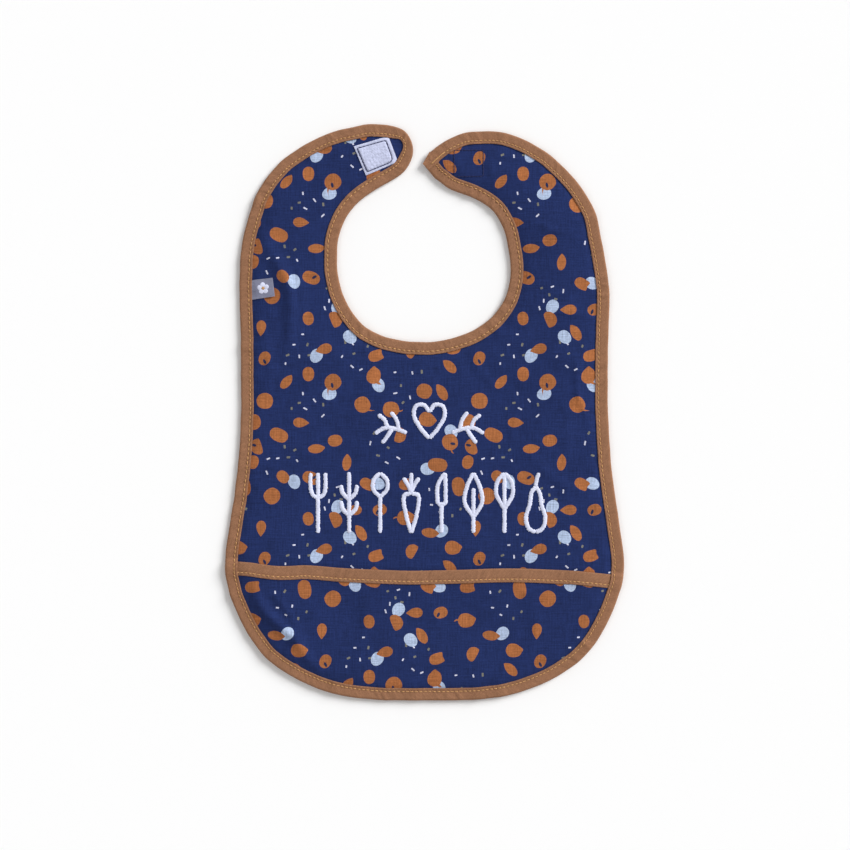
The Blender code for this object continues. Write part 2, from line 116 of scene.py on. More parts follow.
# Embroidery, as in the CAD
STROKE_WIDTH = 2.6
SATIN_PITCH = 0.5
ICON_PITCH = 19.4
FIRST_ICON_X = -66.5
ICON_ROW_Y = -56.5
CREST_MIDDLE = (3.0, -6.0)

# Print
REPEAT = (134.0, 125.0)
POCKET_PRINT_SHIFT = (38.0, 61.0)
CLOTH_CELL = 2.1

# Outline of the whole bib, as in the CAD, counter-clockwise from the right strap's tip, before it is uneven
RIGHT_TIP = (-1.0, 155.0)
NECKLINE = [
    (6.5, 146), (17, 139), (30, 134), (41, 127.5), (48.5, 117), (52.5, 103), (54, 88), (51.5, 74),
    (45, 62.5), (34, 53), (17, 46), (-3, 43.7), (-22, 46.3), (-37, 53), (-47, 65), (-53, 79),
    (-54.8, 93), (-53.9, 109), (-49.5, 121.5), (-41, 132), (-29, 140), (-19, 145.5), (-11, 152),
    (-7.3, 161),
]
LEFT_STRAP_EDGE = [
    (-8, 169.5), (-14, 177), (-30, 180.2), (-46, 178), (-62, 173.5), (-78.4, 165), (-91.6, 155),
    (-102.8, 140), (-109, 125), (-113.5, 110), (-115.5, 92),
]
SIDE_EDGE = [
    (115.6, 70), (114.7, 40), (114.6, 5), (115.6, -22), (118.8, -50), (123.1, -78), (124.9, -95),
    (123.8, -106), (119.6, -120), (109.8, -140), (97.5, -155), (80, -167), (59, -175.3), (36, -179.6),
]
BOTTOM = (0, -180.3)
RIGHT_STRAP_EDGE = [
    (113.8, 90), (110.5, 108), (106.6, 125), (98, 140), (84.7, 155), (67, 168), (50, 174.8),
    (36, 175.7), (24, 174.5), (12, 169), (3.5, 162.5),
]


def both_sides(*points):
    """A stroke and its mirror image."""
    return [list(points), [(-x, y) for x, y in points]]


ICONS = {
    "fork": [
        [(-4.6, 18.5), (-4.6, 9), (-3.3, 5), (0, 3.2), (3.3, 5), (4.6, 9), (4.6, 18.5)],
        [(0, 18.5), (0, 0), (0, -19)],
    ],
    "wheat": [
        [(0, 19), (0, 0), (0, -19)],
        *both_sides((0, 2), (4, 6), (5, 11)),
        *both_sides((0, -8), (4, -4), (5, 1)),
    ],
    "spoon": [
        *both_sides((0, 3.5), (-4.2, 8), (-4.2, 14), (0, 18.5)),
        [(0, 4), (0, -8), (0, -19)],
    ],
    "carrot": [
        *both_sides((0, 6), (-4.6, 4), (-3.2, -8), (0, -19)),
        [(0, 6), (0, 12), (0, 18.5)],
        *both_sides((0, 7), (-2.6, 12), (-5, 15.5)),
    ],
    "knife": [
        [(2, -1), (2, 10), (1.6, 18.5)],
        [(1.6, 18.5), (-2.8, 11), (-3, -1)],
        [(-3, -1), (-0.5, -1), (2, -1)],
        [(-0.5, -1), (-0.5, -10), (-0.5, -19)],
    ],
    "leaf": [
        *both_sides((0, -9), (-5.4, 0), (-4, 10), (0, 18.5)),
        [(0, 9), (0, -5), (0, -19)],
    ],
    "whisk": [
        *both_sides((0, -4), (-5, 5), (-4.4, 13), (0, 18.5)),
        [(0, 18.5), (0, 0), (0, -19)],
    ],
    "pear": [
        *both_sides((0, 10), (-2.6, 6), (-3.6, -1), (-6, -9), (-4.4, -16), (0, -18.5)),
        [(0, 10), (0.6, 14), (2.2, 18.5)],
    ],
}
HEART = both_sides((0, 6), (-3.5, 10.5), (-8.5, 9.5), (-9.5, 3.5), (-5.5, -4), (0, -10.5))
BRANCH = [
    [(14, -7), (21, -4.5), (28, -4), (34, -7.5)],
    [(19, -5), (20.5, 1), (24, 6)],
    [(26, -4), (28, 1), (32, 4.5)],
    [(23, -4.2), (26.5, -9.5), (29.5, -13.5)],
]

# Soft folds: the line along the crest, the half width and the height
FOLDS = [
    ([(-101, 108), (-95, 98), (-89, 88), (-85, 79), (-83, 68), (-84, 48), (-86, 34)], 4.0, 2.6),
    ([(-80, 96), (-76, 70), (-77, 48)], 2.4, 0.8),
    ([(-103, 60), (-97, 30), (-98, 8)], 2.6, 0.7),
    ([(93, 38), (95, 27), (96, 10), (103, -8)], 1.7, 1.3),
    ([(100, 52), (98, 24), (102, 2)], 2.2, 0.5),
    ([(64, 120), (84, 112), (101, 116)], 2.6, 0.7),
    ([(78, 66), (95, 61), (108, 64)], 2.4, 0.8),
    ([(20, 160), (21, 150), (19, 142)], 1.5, 0.6),
    ([(44, 168), (41, 155), (44, 142)], 1.6, 0.6),
    ([(-60, -18), (-82, -30), (-104, -34)], 3.4, 0.7),
    ([(62, -24), (84, -44), (106, -52)], 3.2, 0.8),
    ([(-30, 36), (-34, 20), (-44, 6)], 2.6, 0.6),
    ([(30, 42), (36, 24), (48, 12)], 2.8, 0.6),
    ([(-70, 150), (-62, 142), (-60, 132)], 2.4, 0.6),
    ([(88, 4), (89, -20), (86, -44)], 2.8, 0.5),
]
POCKET_FOLDS = [
    ([(-107, -106), (-103, -119), (-97, -127), (-89, -134), (-81, -141), (-75, -150), (-69, -160)], 3.4, 2.9),
    ([(-99, -110), (-89, -119), (-83, -128), (-76, -139)], 2.0, 1.1),
    ([(-113, -114), (-108, -126), (-101, -136)], 1.9, 0.8),
    ([(-40, -108), (-36, -130), (-44, -160)], 4.0, 0.6),
    ([(62, -108), (70, -134), (62, -158)], 4.0, 0.7),
    ([(108, -114), (98, -136), (86, -152)], 2.6, 0.8),
    ([(0, -112), (8, -134), (2, -160)], 4.6, 0.5),
]
# Small kinks in the sewn edge: a place on the edge, how far out it stands and how far along it reaches
KINKS = [
    (-105.9, 133.5, 0.6, 8), (-110.5, 118, -0.4, 9), (-52.3, 117.5, 0.4, 6), (-53.4, 77.5, 0.35, 7),
    (-44.0, 129.0, 0.4, 6), (78.0, 160.2, 0.4, 8), (93.4, 144.8, 0.35, 8), (107.0, 125.4, 0.3, 9),
    (115.8, 77.0, 0.4, 6), (33.0, 175.8, -0.3, 7), (52.6, 98, 0.3, 8), (16, 139.5, 0.25, 6),
    (-115, 20, 0.3, 12), (115, -18, 0.3, 11), (-120, -56, -0.3, 12), (-97, -155.5, 0.3, 9),
    (-60, -175.5, 0.3, 10), (52, -177, 0.2, 11), (103, -149.5, 0.3, 10), (3, 43.8, -0.2, 9),
]
# Short creases across the tape, like FOLDS
TAPE_FOLDS = [
    ([(-104, 137), (-104.5, 131), (-111, 121)], 1.5, 1.0),
    ([(-13.0, 176), (-17, 172), (-20, 168)], 1.1, 0.8),
    ([(-9.0, 171), (-13, 169), (-17, 166)], 1.0, 0.7),
    ([(116.5, 74), (112, 72.5), (106.5, 73)], 1.4, 1.0),
    ([(116.5, 79), (111, 79.5), (106, 78)], 1.2, 0.6),
    ([(115.8, -22), (111, -26), (107.5, -33)], 1.6, 0.7),
    ([(-53.5, 78), (-58, 79), (-63, 82)], 1.3, 0.6),
    ([(-43, 131), (-47, 134), (-52, 135)], 1.2, 0.6),
    ([(79, 161), (75, 156), (70, 153)], 1.3, 0.6),
    ([(109, 125), (103, 122), (98, 121)], 1.3, 0.6),
    ([(34, 54), (36, 49), (40, 44)], 1.5, 0.5),
    ([(-36, 54), (-40, 48), (-43, 44)], 1.5, 0.5),
    ([(-98, -154), (-93, -149), (-88, -146)], 1.5, 0.6),
    ([(104, -148), (98, -143), (93, -140)], 1.5, 0.5),
]

# Colours as sRGB channels
NAVY = (32, 46, 93)
NUT = (163, 101, 61)
HUSK = (40, 46, 78)
PALE = (173, 189, 217)
FLECK = (202, 203, 222)
OLIVE = (121, 119, 110)
LINING = (206, 208, 214)
TAPE = (150, 108, 81)
OCHRE = (198, 150, 98)
DARK_THREAD = (34, 38, 84)
SATIN_WHITE = (227, 231, 255)
PILE_WHITE = (201, 206, 234)
HOOK_WHITE = (226, 228, 238)
LABEL_GREY = (131, 133, 156)


# ---------------------------------------------------------------- flat geometry

def hermite(start, end, leave, arrive, length, steps):
    """Curves between pairs of points, by the slopes at their ends and the lengths of their chords."""
    t = (np.arange(steps) / steps)[None, :, None]
    curve = (2 * t**3 - 3 * t**2 + 1) * start[:, None] + (3 * t**2 - 2 * t**3) * end[:, None]
    curve = curve + (t**3 - 2 * t**2 + t) * length[:, None, None] * leave[:, None]
    return (curve + (t**3 - t**2) * length[:, None, None] * arrive[:, None]).reshape(-1, 2)


def smooth(points, steps):
    """A curve through the points, with steps pieces between each pair, as in the CAD."""
    p = np.array(points, float)
    before = np.vstack([p[:1], p[:-1]])
    after = np.vstack([p[1:], p[-1:]])
    span = np.linalg.norm(p - before, axis=1) + np.linalg.norm(after - p, axis=1)
    slope = (after - before) / span[:, None]
    length = np.linalg.norm(p[1:] - p[:-1], axis=1)
    return np.vstack([hermite(p[:-1], p[1:], slope[:-1], slope[1:], length, steps), p[-1:]])


def unit(vectors):
    return vectors / np.linalg.norm(vectors, axis=-1)[..., None]


def closed(loop):
    return np.vstack([loop, loop[:1]])


def inset(loop, distance):
    """A counter-clockwise loop moved inwards, with mitred corners."""
    after = unit(np.roll(loop, -1, axis=0) - loop)
    before = np.roll(after, 1, axis=0)
    normal = np.stack([-before[:, 1] - after[:, 1], before[:, 0] + after[:, 0]], axis=1)
    return loop + normal * (distance / (1 + (before * after).sum(axis=1)))[:, None]


def mirrored(points):
    return [(-x, y) for x, y in reversed(points)]


def lengths_along(path):
    """How far each point of an open path is from its start."""
    steps = np.linalg.norm(np.diff(path, axis=0), axis=1)
    return np.concatenate([[0.0], np.cumsum(steps)])


def along(path, at, want):
    """The places on a path at the wanted distances, where at holds the distance of each of its points."""
    return np.stack([np.interp(want, at, path[:, k]) for k in range(2)], axis=-1)


def resampled(path, spacing):
    """Points at even steps along an open path, with the same ends."""
    at = lengths_along(path)
    count = max(int(round(at[-1] / spacing)), 1)
    return along(path, at, np.linspace(0, at[-1], count + 1))


def clipped(points, origin, normal):
    """The part of a polygon on the side that the normal points to."""
    side = (points - origin) @ np.array(normal)
    kept = []
    for i in range(len(points)):
        a, b = side[i - 1], side[i]
        if a * b < 0:
            kept.append(points[i - 1] + (points[i] - points[i - 1]) * (a / (a - b)))
        if b >= 0:
            kept.append(points[i])
    return np.array(kept)


def densified(points, spacing):
    """A polygon with its long edges parted into equal steps."""
    dense = []
    for i in range(len(points)):
        a, b = points[i], points[(i + 1) % len(points)]
        count = max(math.ceil(np.linalg.norm(b - a) / spacing - 1e-6), 1)
        dense += [a + (b - a) * k / count for k in range(count)]
    return np.array(dense)


def inside(points, polygon):
    """Which points lie in a polygon."""
    found = np.zeros(len(points), bool)
    x, y = points[:, 0], points[:, 1]
    for i in range(len(polygon)):
        (x0, y0), (x1, y1) = polygon[i - 1], polygon[i]
        if y0 != y1:
            crosses = ((y0 > y) != (y1 > y)) & (x < (x1 - x0) * (y - y0) / (y1 - y0) + x0)
            found ^= crosses
    return found


def rectangle(centre, size):
    return np.array([(-1, -1), (1, -1), (1, 1), (-1, 1)]) * np.array(size) / 2 + np.array(centre)


def rounded_rectangle(centre, size, radius, steps=5):
    """A rectangle's path with round corners, counter-clockwise."""
    half = np.array(size) / 2 - radius
    path = []
    for i, (sx, sy) in enumerate(((1, 1), (-1, 1), (-1, -1), (1, -1))):
        for k in range(steps):
            angle = math.radians(90) * (i + k / (steps - 1))
            path.append((sx * half[0] + radius * math.cos(angle), sy * half[1] + radius * math.sin(angle)))
    return np.array(path) + np.array(centre)


def smoothstep(value, low, high):
    t = np.clip((value - low) / (high - low), 0, 1)
    return t * t * (3 - 2 * t)


def quarter_round(value, reach):
    """Rises from 0 to 1 over a reach, as a quarter of a circle."""
    return np.sqrt(np.clip(1 - (1 - np.clip(value / reach, 0, 1)) ** 2, 0, 1))


FREE_EDGE = NECKLINE + LEFT_STRAP_EDGE + mirrored(SIDE_EDGE[::-1]) + [BOTTOM]
FREE_EDGE += SIDE_EDGE[::-1] + RIGHT_STRAP_EDGE
LOOP = np.vstack([[RIGHT_TIP], smooth(FREE_EDGE, 6)])


def eased(loop, times):
    """The outline with its joins between curves smoothed away. The tip's corner stays sharp."""
    keep = smoothstep(np.minimum(np.arange(len(loop)), len(loop) - np.arange(len(loop))), 1, 6)[:, None]
    for _ in range(times):
        middle = 0.25 * np.roll(loop, 1, axis=0) + 0.5 * loop + 0.25 * np.roll(loop, -1, axis=0)
        loop = loop + (middle - loop) * keep
    return loop


def kinked(loop):
    """The outline with the small unevenness that hand-fed tape has. The tip's corner stays sharp."""
    arc = lengths_along(closed(loop))
    total = arc[-1]
    rng = np.random.default_rng(SEED + 5)
    size = math.tau / rng.uniform(14, 46, 9)
    phase = rng.uniform(0, math.tau, 9)
    out = 0.03 * sum(np.sin(size[k] * arc[:-1] + phase[k]) for k in range(9))
    for x, y, amount, reach in KINKS:
        place = arc[np.hypot(loop[:, 0] - x, loop[:, 1] - y).argmin()]
        gap = np.abs(arc[:-1] - place)
        gap = np.sqrt(np.minimum(gap, total - gap) ** 2 + 2.2) - 1.5
        out += amount * np.exp(-gap / reach)
    out *= smoothstep(np.minimum(arc[:-1], total - arc[:-1]), 9, 20)
    step = unit(np.roll(loop, -1, axis=0) - np.roll(loop, 1, axis=0))
    return loop + np.stack([step[:, 1], -step[:, 0]], axis=1) * out[:, None]


LOOP = kinked(eased(LOOP, 4))
CLOSED = closed(LOOP)
ARC = lengths_along(CLOSED)
# The tape is pleated and narrower round the left strap's end
PLEAT_PLACE = (-8.1, 171.2)
PLEAT_ARC = ARC[np.hypot(LOOP[:, 0] - PLEAT_PLACE[0], LOOP[:, 1] - PLEAT_PLACE[1]).argmin()]
TAPE_SHARE = 1 - 0.3 * np.exp(-(((ARC - PLEAT_ARC) / 8.5) ** 2))

fold_along = np.array(FOLD_NECK) - np.array(FOLD_OUTER)
fold_along /= np.linalg.norm(fold_along)
LEFT_FOLD = np.array(FOLD_NECK)
RIGHT_FOLD = np.array([-FOLD_NECK[0], FOLD_NECK[1]])
LEFT_UP = np.array([-fold_along[1], fold_along[0]])
RIGHT_UP = np.array([fold_along[1], fold_along[0]])
FOLD_OF = {"left": (LEFT_FOLD, LEFT_UP), "right": (RIGHT_FOLD, RIGHT_UP)}


def past(side, points):
    """How far points lie beyond a strap's fold."""
    origin, up = FOLD_OF[side]
    return (np.asarray(points)[..., :2] - origin) @ up


# ---------------------------------------------------------------- relief

def waves(rng, count, shortest, longest):
    """A smooth random field between about -1 and 1."""
    angle = rng.uniform(0, math.tau, count)
    size = math.tau / rng.uniform(shortest, longest, count)
    phase = rng.uniform(0, math.tau, count)

    def field(x, y):
        total = 0
        for k in range(count):
            total = total + np.sin(size[k] * (x * math.cos(angle[k]) + y * math.sin(angle[k])) + phase[k])
        return total / math.sqrt(count)

    return field


def arc_waves(rng, count, shortest, longest):
    """The same along the edge, by distance."""
    size = math.tau / rng.uniform(shortest, longest, count)
    phase = rng.uniform(0, math.tau, count)
    return lambda a: sum(np.sin(size[k] * a + phase[k]) for k in range(count)) / math.sqrt(count)


def distance_to(x, y, points):
    """The distance to the nearest of some points, and which one that is."""
    flat = np.stack([x.ravel(), y.ravel()], axis=1).astype(np.float32)
    target = points.astype(np.float32)
    best = np.empty(len(flat), np.float32)
    index = np.empty(len(flat), int)
    for start in range(0, len(flat), 20000):
        part = flat[start:start + 20000]
        gap = (part[:, None, 0] - target[None, :, 0]) ** 2 + (part[:, None, 1] - target[None, :, 1]) ** 2
        index[start:start + 20000] = gap.argmin(axis=1)
        best[start:start + 20000] = gap.min(axis=1)
    return np.sqrt(best).reshape(x.shape), index.reshape(x.shape)


def fold_height(x, y, folds):
    """Rounded ridges that rise and die out along their lines."""
    total = np.zeros_like(x)
    for line, width, height in folds:
        path = resampled(smooth(line, 8), 1.5)
        gap, index = distance_to(x, y, path)
        share = index / (len(path) - 1)
        total += height * np.sin(np.pi * np.clip(share, 0.04, 0.96)) ** 0.7 * np.exp(-((gap / width) ** 2))
    return total


GRID_STEP = 0.5
GRID_X = np.arange(-132, 132 + GRID_STEP / 2, GRID_STEP)
GRID_Y = np.arange(-188, 188 + GRID_STEP / 2, GRID_STEP)
GRID = np.meshgrid(GRID_X, GRID_Y, indexing="ij")


def triangle_heights(points, faces):
    """A height field on the grid from a triangle mesh, 0 outside it."""
    field = np.zeros((len(GRID_X), len(GRID_Y)))
    for face in faces:
        a, b, c = points[face]
        low = np.minimum(np.minimum(a, b), c)
        high = np.maximum(np.maximum(a, b), c)
        i = np.arange(*np.searchsorted(GRID_X, [low[0] - 1e-6, high[0] + 1e-6]))
        j = np.arange(*np.searchsorted(GRID_Y, [low[1] - 1e-6, high[1] + 1e-6]))
        if len(i) == 0 or len(j) == 0:
            continue
        x, y = np.meshgrid(GRID_X[i], GRID_Y[j], indexing="ij")
        area = (b[0] - a[0]) * (c[1] - a[1]) - (c[0] - a[0]) * (b[1] - a[1])
        v = ((x - a[0]) * (c[1] - a[1]) - (c[0] - a[0]) * (y - a[1])) / area
        w = ((b[0] - a[0]) * (y - a[1]) - (x - a[0]) * (b[1] - a[1])) / area
        within = (v >= -1e-6) & (w >= -1e-6) & (v + w <= 1 + 1e-6)
        height = a[2] + v * (b[2] - a[2]) + w * (c[2] - a[2])
        part = field[i[0]:i[-1] + 1, j[0]:j[-1] + 1]
        part[within] = height[within]
    return field


def simulated(loop, cell, fullness, frames, seed):
    """Cloth simulation: how a cloth that is a little fuller than its sewn edge lies on the table. Gives its
    heights on the grid."""
    flat, faces, _, rim = triangulated(densified(loop, cell), [], cell=cell)
    rng = np.random.default_rng(seed)
    height = 0.8 + 0.35 * waves(rng, 6, 34, 80)(flat[:, 0], flat[:, 1]) + rng.uniform(-0.1, 0.1, len(flat))
    sewn = np.unique(rim)
    height[sewn] = 0.6
    mesh = bpy.data.meshes.new("trial_cloth")
    mesh.from_pydata((np.column_stack([flat, height]) * MM).tolist(), [], faces.tolist())
    trial = bpy.data.objects.new("trial_cloth", mesh)
    table_mesh = bpy.data.meshes.new("trial_table")
    table_mesh.from_pydata([(-0.3, -0.3, 0), (0.3, -0.3, 0), (0.3, 0.3, 0), (-0.3, 0.3, 0)], [], [(0, 1, 2, 3)])
    table = bpy.data.objects.new("trial_table", table_mesh)
    for obj in (trial, table):
        bpy.context.scene.collection.objects.link(obj)
    trial.vertex_groups.new(name="sewn").add(sewn.tolist(), 1.0, "REPLACE")
    table.modifiers.new("Collision", "COLLISION")
    table.collision.thickness_outer = 0.0003
    cloth_modifier = trial.modifiers.new("Cloth", "CLOTH")
    settings = cloth_modifier.settings
    settings.quality = 6
    settings.mass = 0.02
    settings.tension_stiffness = 12
    settings.compression_stiffness = 12
    settings.shear_stiffness = 6
    settings.bending_stiffness = 0.15
    settings.shrink_min = -fullness
    settings.vertex_group_mass = "sewn"
    settings.effector_weights.gravity = 0.25
    cloth_modifier.collision_settings.distance_min = 0.0004
    cloth_modifier.point_cache.frame_end = frames
    for frame_number in range(1, frames + 1):
        bpy.context.scene.frame_set(frame_number)
    settled = trial.evaluated_get(bpy.context.evaluated_depsgraph_get()).to_mesh()
    points = np.empty(len(settled.vertices) * 3)
    settled.vertices.foreach_get("co", points)
    points = points.reshape(-1, 3) / MM
    bpy.data.objects.remove(trial)
    bpy.data.objects.remove(table)
    bpy.data.meshes.remove(mesh)
    bpy.data.meshes.remove(table_mesh)
    bpy.context.scene.frame_set(1)
    points[:, 2] = 1.5 * np.tanh((points[:, 2] - 0.6) / 1.5)
    return triangle_heights(points, faces)


def softened(field, times):
    """A height field blurred a little, to take the mesh's facets away."""
    for _ in range(times):
        field = 0.25 * np.roll(field, 1, 0) + 0.5 * field + 0.25 * np.roll(field, -1, 0)
        field = 0.25 * np.roll(field, 1, 1) + 0.5 * field + 0.25 * np.roll(field, -1, 1)
    return field


def make_relief():
    """How high the bib's underside stands off the table, on a grid."""
    rng = np.random.default_rng(SEED)
    x, y = GRID
    edge = resampled(CLOSED, 2.0)
    gap, index = distance_to(x, y, edge)
    arc = index * 2.0
    settled = softened(simulated(inset(LOOP, 7.0), 4.5, 0.005, 24, SEED + 3), 14)
    broad = waves(rng, 5, 70, 130)(x, y)
    fine = waves(rng, 9, 7, 13)(x, y)
    pucker = arc_waves(rng, 7, 8, 20)(arc)
    swell = arc_waves(rng, 5, 40, 90)(arc)
    off_edge = smoothstep(gap, 6, 30)
    at_seam = np.exp(-np.maximum(gap - 7.5, 0) / 6.0)
    near_words = np.exp(-((x - 2) / 82) ** 6 - ((y + 34) / 46) ** 6)
    height = settled + off_edge * (0.5 + 0.35 * broad) + 0.07 * fine * (0.5 + near_words)
    height += at_seam * (0.26 * pucker + 0.2 * swell)
    height += fold_height(x, y, FOLDS) * smoothstep(gap, 5, 16)
    height += fold_height(x, y, TAPE_FOLDS) * (1 - smoothstep(gap, 8, 14))
    return 0.5 * (height + np.sqrt(height**2 + 0.06))


def make_pocket_relief():
    """How much further the pocket's panel stands off the front."""
    rng = np.random.default_rng(SEED + 1)
    x, y = GRID
    gap, _ = distance_to(x, y, resampled(CLOSED, 2.0))
    sides = smoothstep(gap, 7.5, 26)
    mouth = np.exp(-(((y + 98) / 26) ** 2)) * np.clip(1 - (x / 112) ** 2, 0, 1)
    height = sides * (0.45 + 0.3 * waves(rng, 7, 24, 60)(x, y) + 0.9 * mouth)
    height += fold_height(x, y, POCKET_FOLDS) * smoothstep(gap, 7.5, 13)
    return np.clip(sides * 4, 0, 1) * 0.5 * (height + np.sqrt(height**2 + 0.05))


def sampler(values):
    """A function that reads a grid between its points."""
    def read(x, y):
        u = np.clip((np.asarray(x) - GRID_X[0]) / GRID_STEP, 0, len(GRID_X) - 1.001)
        v = np.clip((np.asarray(y) - GRID_Y[0]) / GRID_STEP, 0, len(GRID_Y) - 1.001)
        i, j = u.astype(int), v.astype(int)
        a, b = u - i, v - j
        low = values[i, j] * (1 - a) + values[i + 1, j] * a
        high = values[i, j + 1] * (1 - a) + values[i + 1, j + 1] * a
        return low * (1 - b) + high * b
    return read


MOUTH_LINE = smooth(POCKET_MOUTH, 8)


def below_mouth(x, y):
    """How far a point lies below the pocket's top edge."""
    return np.interp(x, MOUTH_LINE[:, 0], MOUTH_LINE[:, 1]) - y


def side_lift(x, y):
    """How much the edge tape rises over the pocket's panel and over the ends of its tape."""
    depth = below_mouth(x, y)
    panel = smoothstep(depth, -2.0, 1.2) * SIDE_LIFT_POCKET
    tape = smoothstep(depth, -2.0, 0.8) * (1 - smoothstep(depth, 7.8, 11.0))
    return panel + tape * (SIDE_LIFT_TAPE - SIDE_LIFT_POCKET)


# ---------------------------------------------------------------- meshes

def make_mesh(name, verts, faces, material, flat=None, ink=None, sharp=55.0):
    """A smooth-shaded object from points in millimetres. flat is each point's place on the cloth, and ink
    a colour for each face corner, both for the material."""
    mesh = bpy.data.meshes.new(name)
    mesh.from_pydata((np.asarray(verts) * MM).tolist(), [], [tuple(face) for face in faces])
    if flat is not None:
        spots = np.zeros((len(verts), 3), np.float32)
        spots[:, :2] = flat
        mesh.attributes.new("flat", "FLOAT_VECTOR", "POINT").data.foreach_set("vector", spots.ravel())
    if ink is not None:
        colour = mesh.color_attributes.new("ink", "FLOAT_COLOR", "CORNER")
        colour.data.foreach_set("color", np.asarray(ink, np.float32).ravel())
    mesh.shade_smooth()
    mesh.set_sharp_from_angle(angle=math.radians(sharp))
    mesh.materials.append(material)
    obj = bpy.data.objects.new(name, mesh)
    bpy.context.scene.collection.objects.link(obj)
    return obj


def grid_faces(rows, columns, around):
    """Quads of a grid of points, row by row. around joins the last column to the first."""
    last = columns if around else columns - 1
    r, c = np.meshgrid(np.arange(rows - 1), np.arange(last), indexing="ij")
    a = (r * columns + c).ravel()
    b = (r * columns + (c + 1) % columns).ravel()
    return np.stack([a, b, b + columns, a + columns], axis=1)


def swept(rings):
    """Points and faces of a closed tube through rings of points, its ends filled."""
    rows, columns = rings.shape[:2]
    faces = grid_faces(rows, columns, True)[:, ::-1].tolist()
    faces.append(list(range(columns)))
    faces.append([(rows - 1) * columns + k for k in range(columns)][::-1])
    return rings.reshape(-1, 3), faces


def joined(parts):
    """Several meshes' points, faces and flat places as one."""
    verts, faces, flats, count = [], [], [], 0
    for points, quads, flat in parts:
        verts.append(points)
        flats.append(flat)
        faces += [[index + count for index in face] for face in quads]
        count += len(points)
    return np.vstack(verts), faces, np.vstack(flats)


def finish_piece(obj, nodes, body=None, strap=None):
    """Hides the CAD parts that a piece stands in for, and sets what it moves with: a body, or the fold of a
    strap.
    """
    if strap:
        origin, up = FOLD_OF[strap]
        start = (origin - up * BLEND_BEFORE) * MM
        end = (origin + up * BLEND_AFTER) * MM
        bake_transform(obj, "bib", f"{strap}_strap", (*start, 0), (*end, 0))
    else:
        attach(obj, body)
    if nodes:
        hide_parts(*nodes)
    return obj


# ---------------------------------------------------------------- print

def linear(colour):
    """sRGB channels from 0 to 255 as linear RGBA."""
    value = np.array(colour) / 255
    value = np.where(value <= 0.04045, value / 12.92, ((value + 0.055) / 1.055) ** 2.4)
    return (*value, 1.0)


NUTS = {
    "round": [(5.2, 0.4), (3.9, 3.5), (0.5, 4.9), (-3.3, 4.2), (-5.1, 1.0), (-4.7, -2.5), (-1.8, -4.8),
              (2.2, -4.6), (4.7, -2.3)],
    "kernel": [(6.0, 0.2), (4.4, 3.2), (0, 4.2), (-4.6, 3.0), (-6.0, -0.4), (-4.2, -3.4), (0.4, -4.1),
               (4.6, -2.9)],
    "pip": [(4.5, 0.4), (3.0, 3.0), (-0.4, 3.7), (-3.7, 2.4), (-4.6, -0.6), (-2.8, -3.2), (0.6, -3.6),
            (3.6, -2.2)],
    "almond": [(5.9, 1.7), (5.6, 2.0), (2.2, 3.1), (-1.8, 2.7), (-4.8, 0.3), (-4.0, -2.0), (-0.6, -2.9),
               (3.2, -1.9), (5.4, 0.4)],
    "drop": [(5.8, 0.2), (5.6, 0.5), (2.0, 2.7), (-1.8, 3.2), (-4.4, 1.6), (-4.7, -1.2), (-2.2, -3.2),
             (1.6, -2.8), (5.4, -0.3)],
    "block": [(4.6, 2.6), (2.6, 3.4), (-2.6, 3.5), (-4.8, 1.2), (-4.4, -1.8), (-1.0, -3.4), (3.4, -3.2),
              (4.2, -2.6), (4.0, 0.2)],
    "cap": [(5.1, 0.8), (3.6, 3.5), (0.2, 4.5), (-3.4, 3.8), (-5.3, 1.5), (-6.1, 0.2), (-4.6, -1.8),
            (-1.4, -4.2), (2.6, -4.3), (4.8, -1.8)],
    "bowl": [(4.9, -1.6), (4.7, 0.6), (2.6, 3.1), (-0.8, 3.5), (-3.6, 2.0), (-5.0, -0.7), (-4.2, -2.8),
             (0, -3.4), (4.4, -3.1)],
}
STEMS = {
    "hook": [(4.3, -1.6), (5.9, -2.0), (7.2, -1.5), (7.7, -0.7), (6.9, -0.9), (5.7, -1.1), (4.4, -0.4)],
    "ear": [(3.4, 2.4), (4.8, 1.6), (5.5, 3.6), (5.5, 5.0), (4.2, 3.9)],
    "spike": [(4.4, 1.2), (4.7, -0.2), (6.5, 1.7), (8.0, 4.2), (6.4, 2.5)],
}


def nut_outline(kind):
    """A nut or kernel about its middle, with a smooth outline."""
    p = np.array(NUTS[kind], float)
    before, after = np.roll(p, 1, axis=0), np.roll(p, -1, axis=0)
    step = np.linalg.norm(after - p, axis=1)
    slope = (after - before) / (step + np.roll(step, 1))[:, None]
    return hermite(p, after, slope, np.roll(slope, -1, axis=0), step, 4)


def turned(shape, angle, centre):
    c, s = math.cos(angle), math.sin(angle)
    return shape @ np.array([(c, s), (-s, c)]) + np.array(centre)


def repeat_gap(a, b):
    """The distance between two places of the repeat, over its borders too."""
    d = np.abs(np.asarray(a) - b)
    return math.hypot(*np.minimum(d, np.array(REPEAT) - d))


def spread(rng, count, apart, others, tries):
    """Places scattered over the repeat. others are (place, how far to stay away from it)."""
    places = []
    while len(places) < count:
        best, best_gap = None, -1.0
        for _ in range(tries):
            spot = rng.uniform(0, 1, 2) * REPEAT
            gaps = [repeat_gap(p, spot) / apart for p in places]
            gaps += [repeat_gap(p, spot) / need for p, need in others]
            if not gaps or min(gaps) > best_gap:
                best, best_gap = spot, min(gaps, default=9.0)
        places.append(best)
    return places


